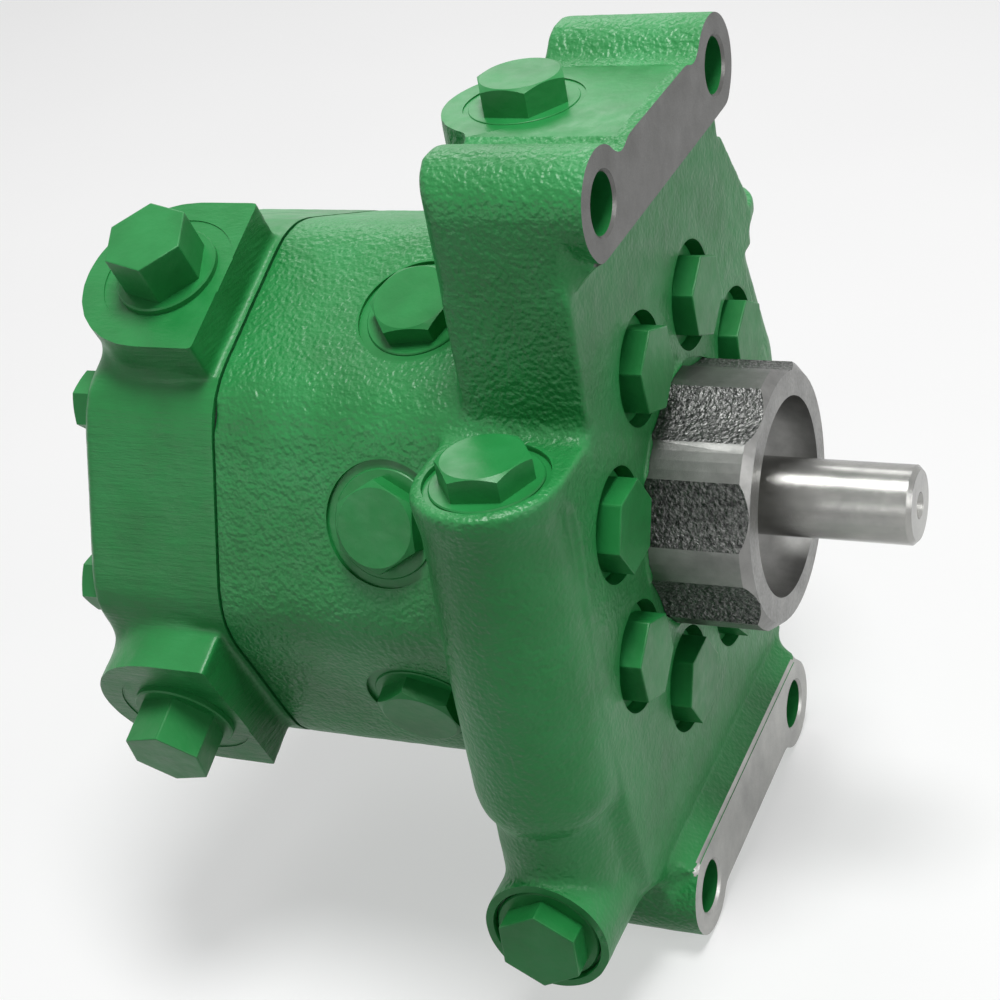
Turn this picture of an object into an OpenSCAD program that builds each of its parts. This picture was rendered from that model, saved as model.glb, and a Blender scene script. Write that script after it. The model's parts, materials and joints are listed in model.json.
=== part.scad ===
// Eight piston radial hydraulic pump with a flange mounting, in millimetres.
// +X runs along the drive shaft and out of the front, +Z is up.
// The origin is on the machined mounting pads, at the shaft axis.

/* [Mounting flange] */
// Distance between the mounting holes, side to side
bolt_spacing_y = 88.5; // [84:0.5:92]
// Distance between the mounting holes, top to bottom
bolt_spacing_z = 220; // [212:1:228]
// Radius of a mounting hole
bolt_hole_r = 7.8; // [6:0.1:8.5]
// Radius of the round ear about a mounting hole
ear_r = 14.5; // [13:0.5:16]
// Height of the machined pads above the front face of the casting
pad_height = 7; // [4:0.5:9]
// Width of a pad from its straight edge to the hole line
pad_edge = 13.4; // [12:0.1:15]
// Distance from the pads to the rear face of the upper ears
ear_depth = 45; // [42:1:48]
// Distance from the pads to the rear face of the lower ears
lower_ear_depth = 28; // [24:1:34]
// Rounding of the upper ears' rear corners, seen from above
ear_corner_r = 12; // [8:1:16]
// Height of the flat port shelf above the shaft axis
shelf_height = 118.5; // [116:0.5:121]
// Radius of the round rear end of the port shelf
shelf_r = 22.5; // [20:0.5:24]
// Distance of the cast grooves beside the shelf from the middle
groove_y = 28; // [26:0.5:30]
// Radius of the cast grooves
groove_r = 6; // [4:0.5:8]

/* [Body] */
// Distance from the shaft axis to each of the eight flats
flat_radius = 77.2; // [75:0.2:80]
// Radius that rounds the corners between the flats
corner_r = 27; // [15:1:35]
// Distance from the pads to the joint between housing and cover
joint_depth = 116.7; // [114:0.5:120]
// Radius of the crankcase bore
crankcase_r = 39; // [38.4:0.1:40]
// Distance from the pads to the front wall of the crankcase
crankcase_front = 48; // [47:0.25:48.5]

/* [Hub] */
// Outer radius of the hub
hub_r = 38; // [36:0.5:39]
// Distance that the hub stands out in front of the pads
hub_front = 22.3; // [18:0.5:28]
// Radius of the open mouth of the hub
hub_mouth_r = 28.4; // [27:0.2:30]
// Depth of the mouth
hub_mouth_depth = 18; // [14:0.5:20]
// Chamfer on the front edge of the hub
hub_chamfer = 2.5; // [1:0.5:4]
// Radius of each clearance scallop down the hub
scallop_r = 40; // [25:1:60]
// Depth of each scallop
scallop_depth = 2.3; // [1:0.1:3]

/* [Ports and side galleries] */
// Distance of the suction port's axis behind the pads
port_depth = 37.5; // [36:0.25:38.5]
// Distance of the side galleries' axes behind the pads
gallery_depth = 27.4; // [26.5:0.1:27.4]
// Distance of the side galleries' axes outside the body's flats
gallery_stand = 2.3; // [1:0.1:4]
// Radius of a gallery column
gallery_r = 20; // [18:0.25:20]
// Height of the flat top of a column
gallery_top = 52; // [49:0.5:54]
// Thickness of the rim round the flat top
gallery_rim = 5; // [3:0.5:7]
// Radius of the long column at the waist under its rim
waist_r = 19; // [17:0.25:19.5]
// Radius of the short column at the waist under its rim
short_waist_r = 15.6; // [14:0.2:17]
// Distance that the long column stays full below the shaft axis
column_drop = 41; // [36:0.5:46]
// Distance that the short column stays full below the shaft axis
short_column_drop = 6; // [2:0.5:12]
// Radius of the neck between the long column and the cross port
neck_r = 16.4; // [14:0.2:17.5]
// Radius of the drilled galleries
gallery_bore_r = 7; // [5.5:0.25:7.5]
// Distance of the lower cross port below the shaft axis
cross_port_drop = 85.5; // [83:0.5:86]
// Radius of the round boss about the lower cross port
cross_port_r = 18.3; // [17.6:0.1:19]
// Distance that this boss stands outside the gallery axis
cross_port_reach = 18.5; // [16:0.5:22]
// Radius of the recess about a plug in a side gallery
side_recess_r = 16.8; // [16:0.1:17.4]
// Depth of that recess
side_recess_depth = 3; // [2:0.25:4]
// Radius of the suction drilling from the shelf to the joint
suction_bore_r = 5; // [4:0.25:5.5]
// Distance of that drilling from the shaft axis
suction_r = 50; // [49:0.25:51]
// Radius of the cast ring passage behind the front plugs
pressure_bore_r = 3.5; // [2.5:0.25:4]

/* [Rear cover] */
// Length of the cover from the joint to its rear face
cover_length = 44.5; // [42:0.5:48]
// Distance of the flat valve bosses from the shaft axis
boss_height = 90; // [87:0.5:94]
// Half the width of a valve boss
boss_half_width = 26.3; // [24:0.1:28]
// Distance of the boss axis behind the joint
boss_setback = 21.8; // [20:0.2:24]
// Thickness of the gasket in the joint
gasket_thick = 0.8; // [0.5:0.1:1.5]
// Distance of the cover screws' circle inside the flats
screw_inset = 9.2; // [8:0.2:11]
// Radius of a screw shank
screw_r = 5; // [4:0.25:5.5]
// Distance across the flats of a screw head
screw_af = 16; // [13:0.5:17]
// Height of a screw head
screw_head = 6.5; // [5:0.5:8]
// Length of screw in the housing
screw_grip = 20; // [16:1:24]
// Bevel round the rear face
cover_bevel = 2; // [1:0.25:3]

/* [Shaft] */
// Radius of the drive end
shaft_r = 11.11; // [10:0.01:12]
// Distance that the shaft reaches in front of the pads
shaft_reach = 59.3; // [52:0.5:70]
// Chamfer on the drive end
shaft_chamfer = 1.3; // [0.5:0.1:2]
// Radius of the centre drilling in the drive end
centre_drill_r = 2.6; // [1.5:0.1:3]
// Radius of the seal journal
seal_journal_r = 14; // [13:0.1:14.6]
// Radius of the bearing journals
journal_r = 15; // [14.7:0.1:15.6]
// Radius of the shoulders beside the eccentric
shoulder_r = 18; // [17:0.25:18.6]
// Distance that the eccentric stands off the shaft axis
eccentricity = 5.5; // [4:0.1:5.6]
// Radius of the eccentric
eccentric_r = 21.5; // [21:0.1:22]
// Width of the eccentric
eccentric_width = 24; // [22:0.5:25]

/* [Race and needle bearing] */
// Outer radius of the race that the pistons ride on
race_r = 32; // [31:0.1:32.4]
// Width of the race
race_width = 23.4; // [20:0.2:23.4]
// Number of needle rollers
needle_count = 16; // [12:1:18]
// Radius of a needle roller
needle_r = 1.7; // [1.5:0.05:1.8]
// Length of a needle roller
needle_length = 18; // [14:0.5:20]

/* [Pistons] */
// Distance of the piston row behind the pads
piston_depth = 65; // [64.5:0.1:65.4]
// Radius of a piston
piston_r = 11; // [10:0.1:11]
// Length of a piston
piston_length = 20; // [18:0.5:20.5]
// Radius of the hollow in a piston
piston_hollow_r = 8; // [7:0.1:8.6]
// Depth of the hollow in a piston
piston_hollow_depth = 14; // [10:0.5:15]
// Gap between a piston held out of stroke and the race at its highest
standby_gap = 0.4; // [0.3:0.1:0.8]
// Radius of the thread on a piston plug
piston_plug_r = 12; // [11.5:0.1:12.4]
// Depth of the recess about a piston plug
piston_recess_depth = 3.2; // [2:0.1:4]
// Radius of the recess about a piston plug
piston_recess_r = 17.4; // [16.5:0.1:18.5]
// Height of a piston plug's hexagon
piston_hex_height = 6.5; // [5:0.5:9]
// Depth of the hollow in a piston plug
plug_hollow = 8; // [5:0.5:10]

/* [Valves in the front face] */
// Radius of the circle that the front plugs stand on
valve_circle_r = 55.6; // [55:0.2:56.4]
// Radius of the counterbore about a front plug
valve_recess_r = 15.7; // [14.5:0.1:16.2]
// Depth of that counterbore
valve_recess_depth = 6; // [4:0.5:7]
// Radius of the thread on a front plug
valve_plug_r = 12; // [11:0.1:12.4]
// Length of that thread
valve_thread = 8; // [7:0.25:9]
// Height of a front plug's hexagon
valve_hex_height = 8.8; // [6:0.2:11]
// Radius of the outlet valve chamber
valve_bore_r = 9; // [8:0.1:9.5]
// Depth of the chamber behind the pads
valve_bore_depth = 45; // [43:0.25:46]
// Radius of the outlet valve head
valve_head_r = 7; // [6:0.1:7.6]
// Lift of an outlet or inlet valve
valve_lift = 1.5; // [1:0.1:2]
// Radius of a valve stem
stem_r = 3; // [2:0.1:3.5]
// Thickness of a valve head
head_thick = 2.5; // [1.5:0.1:3]
// Radius of the passage between a valve and its piston
passage_r = 4.5; // [3.5:0.1:5]
// Radius of the circle that the inlet valves stand on
inlet_circle_r = 54; // [53:0.2:54.6]
// Radius of an inlet valve bore
inlet_bore_r = 9; // [8:0.1:9.5]
// Depth of an inlet valve bore in front of the joint
inlet_bore_depth = 32; // [30:0.5:33]
// Length of the cage that an inlet valve seats on
cage_length = 16.4; // [14:0.2:18]
// Bore of that cage
cage_bore_r = 5.6; // [5:0.1:5.8]

/* [Hexagon plugs] */
// Distance across the flats of every plug
plug_af = 22.2; // [20:0.2:24]
// Radius of the round flange under the hexagon
plug_flange_r = 15; // [14.2:0.1:15.4]
// Thickness of the round flange
plug_flange = 2.2; // [1.5:0.1:3]
// Height of the hexagon on a port plug
port_hex_height = 7; // [6:0.5:11]
// Radius of the thread on a port plug
port_plug_r = 11; // [9.5:0.25:12]
// Length of the thread on a port plug
port_thread = 8; // [6:0.25:8.5]
// Radius of the spotface under a port plug
spotface_r = 16.5; // [16:0.1:17.5]
// Depth of the spotface
spotface_depth = 1.5; // [0.8:0.1:2]
// Height of the tall hexagons on the rear cover
cover_hex_height = 16.5; // [12:0.5:18]
// Depth of the recess about a cover plug
cover_recess_depth = 3.5; // [2:0.25:4]

/* [Control valves in the cover] */
// Radius of a control valve bore
control_bore_r = 8; // [7:0.1:9]
// Distance from the shaft axis to the inner end of a control valve bore
control_bore_end = 34; // [30:0.5:38]
// Length of a control valve
control_valve_length = 16; // [12:0.5:18]
// Length of the thread on a control valve's plug
control_thread = 14; // [10:0.5:16]
// Travel of a control valve
control_travel = 2.5; // [1.5:0.1:4]
// Radius of the pilot drilling behind a control valve
pilot_bore_r = 3.5; // [2.5:0.25:4]

/* [Bearings] */
// Outer radius of the tapered bearings
bearing_r = 31; // [30.5:0.1:31.5]
// Width of the tapered bearings
bearing_width = 17; // [16:0.25:17.5]
// Radius of the circle through the middles of the tapered rollers
roller_circle_r = 23; // [22.6:0.1:23.4]
// Radius of a tapered roller at its middle
roller_r = 3.6; // [3.2:0.05:3.8]
// Length of a tapered roller
roller_length = 11.5; // [10:0.5:12]
// Number of tapered rollers in a bearing
roller_count = 15; // [12:1:15]
// Slope of the roller axes to the shaft
roller_slope = 12; // [10:0.5:13]

/* [Shaft seal] */
// Radius of the seal's seat in the hub
seal_r = 23; // [21:0.25:24]
// Width of the seal
seal_width = 9; // [6:0.5:10]
// Distance of the seal's front face behind the pads
seal_depth = 3; // [2:0.5:5]
// Thickness of the snap ring that holds the seal
snap_ring_thick = 1.5; // [1:0.1:2]

/* [Clearances] */
// Radial clearance of a running fit
running_gap = 0.03; // [0.02:0.01:0.08]
// Radial clearance of a fixed fit
fixed_gap = 0.02; // [0.02:0.01:0.06]
// Gap between a deep face and the piece that stops short of it
end_gap = 0.3; // [0.2:0.05:0.5]

/* [Hidden] */
$fn = 64;
flat_count = 8;
flat_step = 360 / flat_count;
first_flat = flat_step / 2;
control_angle = first_flat + 2 * flat_step;
crankcase_valve_angle = first_flat + 4 * flat_step;
face_x = -pad_height;
ear_y = bolt_spacing_y / 2;
ear_z = bolt_spacing_z / 2;
ear_blend = 180 - asin((shelf_height - ear_z) / ear_r);
ear_foot = flat_radius / 2;
groove_cut = 1.6;
plate_depth = 42;
body_lap = 2;
joint_x = -joint_depth;
cover_front_x = joint_x - gasket_thick;
cover_rear_x = joint_x - cover_length;
boss_x = joint_x - boss_setback;
boss_front_x = cover_front_x - 2.5;
boss_foot = 40;
piston_x = -piston_depth;
port_x = -port_depth;
gallery_x = -gallery_depth;
gallery_side = flat_radius + gallery_stand;
face_half = ear_y + ear_r;
face_knee = 5;
face_knee_drop = 49;
waist_foot = 31;
waist_taper = 6;
face_waist = (gallery_r - waist_r) * 4;
short_face_waist = (gallery_r - short_waist_r) * 2.2;
gasket_inset = 0.6;
screw_edge = 2.6;
screw_circle_r = flat_radius - screw_inset;
shelf_seat = shelf_height - spotface_depth;
gallery_seat = gallery_top - side_recess_depth;
cross_port_face = gallery_side + cross_port_reach;
cross_port_seat = cross_port_face - side_recess_depth;
boss_root = face_half - 9;
link_bore_r = pressure_bore_r - 0.5;
plug_corner_r = plug_af / 2 / cos(30);
plug_edge = 1.6;
oring_relief = 2.4;
oring_slack = 0.08;
piston_inner = race_r + eccentricity + standby_gap;
piston_outer = piston_inner + piston_length;
piston_floor = piston_outer - piston_hollow_depth;
piston_plug_inner = piston_outer + 1.6;
piston_plug_seat = flat_radius - piston_recess_depth;
front_bearing_x = 2 - crankcase_front;
front_seat_x = front_bearing_x + bearing_width;
bearing_throat_r = bearing_r - 6;
eccentric_front_x = piston_x + eccentric_width / 2;
eccentric_rear_x = piston_x - eccentric_width / 2;
shoulder_lap = 0.3;
shoulder_width = front_bearing_x - eccentric_front_x;
rear_bearing_x = eccentric_rear_x - shoulder_width;
shim_thick = 1;
rear_seat_x = rear_bearing_x - bearing_width - shim_thick;
relief_x = rear_seat_x - 10;
relief_r = 24;
shaft_end_x = rear_bearing_x - bearing_width - 3;
seal_back_x = -seal_depth - seal_width - 2;
centre_drill_depth = 7;
washer_r = race_r - 2;
washer_thick = 2;
spigot_front_x = eccentric_rear_x - washer_thick - 1;
spigot_gap = 0.05;
oring_groove = 3;
oring_wide = 4;
cover_oring_x = cover_front_x + 6;
annulus_inner = inlet_circle_r - 8;
annulus_outer = inlet_circle_r + 6;
annulus_depth = 6;
screw_end_x = joint_x + screw_grip;
mouth_x = hub_front - hub_mouth_depth;
mouth_step = 2.5;
snap_ring_x = -seal_depth + snap_ring_thick;
ring_groove_r = seal_r + 1.6;
needle_circle_r = eccentric_r + running_gap + needle_r;
race_bore_r = needle_circle_r + needle_r + running_gap;
roller_apex = bearing_width / 2 + roller_circle_r / tan(roller_slope);
roller_half = atan(roller_r * sin(roller_slope) / roller_circle_r);
rib_width = 1.8;
rib_height = 1.2;
cage_edge = 1.2;
valve_seat_x = -valve_bore_depth;
valve_plug_x = face_x - valve_recess_depth;
stem_engaged = valve_thread / 2;
passage_reach = piston_r - 3;
pressure_ring_x = valve_plug_x - valve_thread - 3;
pressure_ring_r = valve_circle_r - 6;
inlet_seat_x = joint_x + inlet_bore_depth;
cage_seat_x = joint_x + end_gap + cage_length;
guide_length = 8;
wing_thick = 1.6;
control_seat = boss_height - cover_recess_depth;
pilot_r = 20;
coil_steps = 10;
wire_sides = 5;
coil_slack = 0.05;
piston_wire = 1.1;
valve_wire = 0.8;
control_wire = 1;

function arc(cy, cz, r, from, to, steps) =
    [for (i = [0:steps]) let (a = from + (to - from) * i / steps) [cy + r * cos(a), cz + r * sin(a)]];
function mirrored_y(points) = [for (i = [len(points) - 1:-1:0]) [-points[i][0], points[i][1]]];
function octagon_outline(flat, round_r) =
    [for (i = [0:flat_count - 1])
        let (a = i * flat_step, c = (flat - round_r) / cos(first_flat))
            each arc(c * cos(a), c * sin(a), round_r, a - first_flat, a + first_flat, 4)];

// Lays what is drawn along +Z along the shaft, with its first axis along +Y
module along_x(x = 0) translate([x, 0, 0]) rotate([90, 0, 90]) children();

// Points what is drawn along +Z away from the shaft axis
module outward(angle, x) translate([x, 0, 0]) rotate([angle - 90, 0, 0]) children();

// Puts what is drawn at the shaft axis on a circle round it
module on_circle(radius, angle) rotate([angle, 0, 0]) translate([0, radius, 0]) children();

// Solid of revolution about the shaft line, from [radius, x] points
module turned_x(points) along_x() rotate_extrude() polygon(points);

module ring_x(outer, inner, from, to)
    turned_x([[inner, from], [outer, from], [outer, to], [inner, to]]);

module rod_x(radius, from, to) along_x(from) cylinder(r = radius, h = to - from);

// Hexagon plug on its seat at the origin, pointing along +Z
module hex_plug(thread_r, thread_length, hex_height, hollow_r, hollow_depth) {
    hex_top = plug_flange + hex_height;
    difference() {
        union() {
            rotate_extrude()
                polygon([[0, -thread_length], [thread_r - 1, -thread_length], [thread_r, 1 - thread_length],
                         [thread_r, 0], [plug_flange_r, 0], [plug_flange_r, plug_flange - 0.5],
                         [plug_flange_r - 0.5, plug_flange], [0, plug_flange]]);
            intersection() {
                cylinder(r = plug_corner_r, h = hex_top, $fn = 6);
                rotate_extrude()
                    polygon([[0, 0], [plug_corner_r + 1, 0], [plug_corner_r + 1, hex_top - plug_edge - 0.6],
                             [plug_af / 2 - plug_edge, hex_top], [0, hex_top]]);
            }
        }
        translate([0, 0, -thread_length - 1]) cylinder(r = hollow_r, h = hollow_depth + 1);
    }
}

// Stepped hole for a plug: seat at the origin, recess above it
module plug_port(thread_r, thread_length, recess_r, recess_depth)
    rotate_extrude()
        polygon([[0, -thread_length - 1], [thread_r + fixed_gap, -thread_length - 1],
                 [thread_r + fixed_gap, -oring_relief], [thread_r + oring_relief, -oring_relief],
                 [thread_r + oring_relief, 0], [recess_r, 0], [recess_r, recess_depth + 20],
                 [0, recess_depth + 20]]);

module plug_oring(thread_r)
    translate([0, 0, -oring_relief / 2]) rotate_extrude()
        translate([thread_r + oring_relief / 2, 0]) circle(r = oring_relief / 2 - oring_slack);

// Coil spring of round wire that stands on the origin
module coil(radius, wire, length, turns) {
    steps = round(turns * coil_steps);
    points = [for (i = [0:steps]) for (j = [0:wire_sides - 1])
        let (a = 360 * turns * i / steps, b = 360 * j / wire_sides, rho = radius + wire * cos(b))
            [rho * cos(a), rho * sin(a), wire + (length - 2 * wire) * i / steps + wire * sin(b)]];
    sides = [for (i = [0:steps - 1]) for (j = [0:wire_sides - 1])
        let (k = (j + 1) % wire_sides, low = i * wire_sides, high = low + wire_sides)
            each [[low + j, high + j, high + k], [low + j, high + k, low + k]]];
    ends = [[for (j = [0:wire_sides - 1]) j],
            [for (j = [wire_sides - 1:-1:0]) steps * wire_sides + j]];
    polyhedron(points, concat(sides, ends));
}

// Outline of one pair of ears and the shelf between them, above the shaft
module pad_outline() polygon(concat(
    arc(ear_y, ear_z, ear_r, -asin(pad_edge / ear_r), ear_blend, 12),
    mirrored_y(arc(ear_y, ear_z, ear_r, -asin(pad_edge / ear_r), ear_blend, 12))));

module ear_outline(foot) polygon(concat(
    [[ear_y + ear_r, foot]], arc(ear_y, ear_z, ear_r, 0, ear_blend, 10),
    mirrored_y(arc(ear_y, ear_z, ear_r, 0, ear_blend, 10)), [[-ear_y - ear_r, foot]]));

// Upper ears with the port shelf between them
module upper_ears() {
    intersection() {
        along_x(-ear_depth - 5) linear_extrude(ear_depth + 5 - pad_height) ear_outline(ear_foot);
        linear_extrude(ear_z + ear_r + 1) polygon(concat(
            [[0, -face_half - 1], [0, face_half + 1], [-ear_depth / 2, face_half + 1]],
            arc(-ear_depth + ear_corner_r, face_half + 2 - ear_corner_r, ear_corner_r, 90, 180, 6),
            arc(-ear_depth + ear_corner_r, -face_half - 2 + ear_corner_r, ear_corner_r, 180, 270, 6),
            [[-ear_depth / 2, -face_half - 1]]));
    }
    linear_extrude(shelf_height) polygon(concat(
        [[-pad_height, -shelf_r], [-pad_height, shelf_r]], arc(port_x, 0, shelf_r, 90, 270, 12)));
}

module lower_ears() mirror([0, 0, 1])
    along_x(-lower_ear_depth) linear_extrude(lower_ear_depth - pad_height) ear_outline(ear_foot);

// Cast grooves that run beside the shelf and notch the pad
module shelf_grooves()
    for (side = [-1, 1]) translate([0, side * groove_y, shelf_height + groove_r - groove_cut])
        rod_x(groove_r, -ear_depth - 1, 1);

// Quarter of an ellipse that closes the lower end of a column
function column_end(drop, foot, length) =
    [for (a = [0:15:90]) [foot + (gallery_r - foot) * cos(a), -drop - length * sin(a)]];

// Round column with a rim, a waist and a rounded lower end
module gallery_column(waist, drop, foot, length) rotate_extrude() polygon(concat(
    [[0, gallery_top], [gallery_r, gallery_top], [gallery_r, gallery_top - gallery_rim],
     [waist, gallery_top - gallery_rim - waist_taper], [waist, waist_foot],
     [(waist + gallery_r) / 2, waist_foot / 2], [gallery_r, 0]],
    column_end(drop, foot, length), [[0, -drop - length]]));

// Web from the body to a column, with the flat ledge at its top
module gallery_web() {
    translate([-gallery_r, -gallery_side + boss_root, gallery_top - gallery_rim])
        cube([2 * gallery_r, gallery_side - boss_root, gallery_rim]);
    translate([2 - waist_r, -gallery_side + boss_root, -column_drop])
        cube([waist_r, gallery_side - boss_root - 5, gallery_top - 1 + column_drop]);
}

// Gallery columns on both sides: a long one with the cross port, and a short one
module gallery_columns() {
    translate([gallery_x, gallery_side, 0]) {
        gallery_column(short_waist_r, short_column_drop, gallery_r / 4, gallery_r);
        gallery_web();
    }
    mirror([0, 1, 0]) translate([gallery_x, gallery_side, 0]) {
        gallery_column(waist_r, column_drop, neck_r, 10);
        gallery_web();
        translate([0, 0, -cross_port_drop]) {
            cylinder(r = neck_r, h = cross_port_drop);
            translate([0, cross_port_reach, 0]) rotate([90, 0, 0])
                cylinder(r = cross_port_r, h = cross_port_face - boss_root);
        }
    }
}

// One edge of the front face, from the lower ear up past the gallery top
function face_edge(waist) = [
    [face_half, 10 - ear_z], [face_half + face_knee, -face_knee_drop],
    [gallery_side, -2 * short_column_drop], [gallery_side - waist / 2, waist_foot / 2],
    [gallery_side - waist, waist_foot], [gallery_side - waist, gallery_top - gallery_rim - waist_taper],
    [gallery_side, gallery_top - gallery_rim], [gallery_side, gallery_top],
    [face_half, gallery_top], [face_half, ear_z - 20]];

// Flat front face of the casting, seen along the shaft
module face_outline() polygon(concat(
    face_edge(short_face_waist), mirrored_y(face_edge(face_waist))));

module hub_boss() difference() {
    turned_x([[0, face_x - 1], [hub_r, face_x - 1], [hub_r, hub_front - hub_chamfer],
              [hub_r - hub_chamfer, hub_front], [0, hub_front]]);
    for (i = [0:flat_count - 1]) on_circle(hub_r + scallop_r - scallop_depth, first_flat + i * flat_step)
        rod_x(scallop_r, face_x, hub_front + 1);
}

module housing_bore() turned_x([
    [0, joint_x - 1], [crankcase_r, joint_x - 1], [crankcase_r, -crankcase_front],
    [bearing_r + fixed_gap, -crankcase_front], [bearing_r + fixed_gap, front_seat_x],
    [bearing_throat_r, front_seat_x], [bearing_throat_r, -seal_depth - seal_width],
    [seal_r + fixed_gap, -seal_depth - seal_width], [seal_r + fixed_gap, -seal_depth],
    [ring_groove_r, -seal_depth], [ring_groove_r, snap_ring_x + end_gap / 2],
    [seal_r + fixed_gap, snap_ring_x + end_gap / 2], [seal_r + fixed_gap, mouth_x - mouth_step],
    [seal_r + mouth_step, mouth_x - mouth_step], [seal_r + mouth_step, mouth_x],
    [hub_mouth_r, mouth_x], [hub_mouth_r, hub_front + 1], [0, hub_front + 1]]);

// Radial bore, thread and recess of one piston
module piston_bore() {
    cylinder(r = piston_r + running_gap, h = piston_plug_seat);
    translate([0, 0, piston_plug_seat])
        plug_port(piston_plug_r, piston_plug_seat - piston_plug_inner - 1,
                  piston_recess_r, piston_recess_depth);
}

// Axial holes of one cylinder: outlet valve from the front, inlet valve from the joint
module valve_bores() {
    translate([0, valve_circle_r, 0]) {
        rod_x(passage_r, piston_x + passage_reach, -valve_bore_depth + 1);
        rod_x(valve_bore_r, -valve_bore_depth, face_x);
        along_x(valve_plug_x) plug_port(valve_plug_r, valve_thread, valve_recess_r, valve_recess_depth);
    }
    translate([0, inlet_circle_r, 0]) {
        rod_x(inlet_bore_r, joint_x - 1, inlet_seat_x);
        rod_x(passage_r, inlet_seat_x - 1, piston_x - passage_reach);
    }
}

// Suction port from the shelf to the joint face
module suction_gallery() {
    translate([port_x, 0, shelf_seat]) plug_port(port_plug_r, port_thread, spotface_r, spotface_depth);
    translate([port_x, 0, suction_r]) cylinder(r = gallery_bore_r, h = shelf_seat - suction_r);
    translate([0, 0, suction_r]) rod_x(suction_bore_r, joint_x - 1, port_x);
}

// Pressure ring behind the front plugs, linked to the galleries in both columns and to the cross port
module pressure_gallery() {
    along_x(pressure_ring_x) rotate_extrude() translate([pressure_ring_r, 0]) circle(r = pressure_bore_r);
    for (side = [-1, 1]) {
        translate([pressure_ring_x, side * gallery_side, 0]) rotate([side * 90, 0, 0])
            cylinder(r = link_bore_r, h = gallery_side - pressure_ring_r);
        translate([gallery_x, side * gallery_side, gallery_seat])
            plug_port(port_plug_r, port_thread, side_recess_r, side_recess_depth);
        translate([gallery_x, side * gallery_side, -gallery_bore_r])
            cylinder(r = gallery_bore_r, h = gallery_seat + gallery_bore_r);
    }
    translate([gallery_x, -gallery_side, -cross_port_drop]) cylinder(r = gallery_bore_r, h = cross_port_drop);
    translate([gallery_x, -cross_port_seat, -cross_port_drop]) rotate([90, 0, 0])
        plug_port(port_plug_r, port_thread, side_recess_r, side_recess_depth);
    translate([gallery_x, -cross_port_seat, -cross_port_drop]) rotate([-90, 0, 0])
        cylinder(r = gallery_bore_r, h = cross_port_seat - gallery_side);
}

module mounting_hole() rod_x(bolt_hole_r, -ear_depth - 1, 1);

module housing() color("seagreen") difference() {
    union() {
        along_x(joint_x) linear_extrude(joint_depth - plate_depth + body_lap)
            polygon(octagon_outline(flat_radius, corner_r));
        along_x(-plate_depth) linear_extrude(plate_depth - pad_height) face_outline();
        upper_ears();
        lower_ears();
        gallery_columns();
        along_x(face_x) linear_extrude(pad_height) pad_outline();
        mirror([0, 0, 1]) along_x(face_x) linear_extrude(pad_height) pad_outline();
        hub_boss();
    }
    housing_bore();
    for (i = [0:flat_count - 1]) {
        outward(first_flat + i * flat_step, piston_x) piston_bore();
        rotate([first_flat + i * flat_step, 0, 0]) valve_bores();
        on_circle(screw_circle_r, i * flat_step) rod_x(screw_r + fixed_gap, joint_x - 1, screw_end_x + 2);
    }
    shelf_grooves();
    suction_gallery();
    pressure_gallery();
    for (y = [-ear_y, ear_y]) for (z = [-ear_z, ear_z]) translate([0, y, z]) mounting_hole();
}

// Half round boss on the cover for one control valve, pointing along +Z
module cover_boss() translate([0, 0, boss_foot]) linear_extrude(boss_height - boss_foot)
    polygon(concat([[boss_front_x, -boss_half_width], [boss_front_x, boss_half_width]],
                   arc(boss_x, 0, boss_half_width, 90, 270, 14)));

module control_bore() {
    translate([0, 0, control_seat])
        plug_port(port_plug_r, control_thread, spotface_r, cover_recess_depth);
    translate([0, 0, control_bore_end]) cylinder(r = control_bore_r, h = control_seat - control_bore_end);
    translate([0, 0, pilot_r]) cylinder(r = pilot_bore_r, h = control_bore_end - pilot_r + 1);
}

module rear_cover() color("mediumseagreen") difference() {
    union() {
        along_x(cover_rear_x + cover_bevel) linear_extrude(cover_front_x - cover_rear_x - cover_bevel)
            polygon(octagon_outline(flat_radius, corner_r));
        along_x(cover_rear_x) linear_extrude(cover_bevel + 1)
            polygon(octagon_outline(flat_radius - cover_bevel, corner_r - cover_bevel));
        rod_x(crankcase_r - spigot_gap, cover_front_x - 1, spigot_front_x);
        for (a = [control_angle, crankcase_valve_angle]) outward(a, 0) cover_boss();
    }
    turned_x([[0, relief_x], [relief_r, relief_x], [relief_r, rear_seat_x],
              [bearing_r + fixed_gap, rear_seat_x], [bearing_r + fixed_gap, spigot_front_x + 1],
              [0, spigot_front_x + 1]]);
    ring_x(crankcase_r + 2, crankcase_r - oring_groove,
           cover_oring_x - oring_wide / 2, cover_oring_x + oring_wide / 2);
    ring_x(annulus_outer, annulus_inner, cover_front_x - annulus_depth, cover_front_x + 1);
    for (a = [control_angle, crankcase_valve_angle]) {
        outward(a, boss_x) control_bore();
        on_circle(pilot_r, a) rod_x(pilot_bore_r, boss_x, relief_x + 1);
    }
    for (i = [0:flat_count - 1]) on_circle(screw_circle_r, i * flat_step)
        rod_x(screw_r + fixed_gap, cover_rear_x - 1, cover_front_x + 1);
}

module cover_gasket() color("dimgray") difference() {
    along_x(cover_front_x) linear_extrude(gasket_thick)
        polygon(octagon_outline(flat_radius - gasket_inset, corner_r - gasket_inset));
    rod_x(crankcase_r, cover_front_x - 1, joint_x + 1);
    for (i = [0:flat_count - 1]) {
        on_circle(inlet_circle_r, first_flat + i * flat_step)
            rod_x(inlet_bore_r, cover_front_x - 1, joint_x + 1);
        on_circle(screw_circle_r, i * flat_step) rod_x(screw_r + 0.5, cover_front_x - 1, joint_x + 1);
    }
    translate([0, 0, suction_r]) rod_x(suction_bore_r, cover_front_x - 1, joint_x + 1);
}

module cover_oring() color("black")
    along_x(cover_oring_x) rotate_extrude() translate([crankcase_r - oring_groove / 2, 0])
        circle(r = oring_groove / 2 - 0.1);

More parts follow.
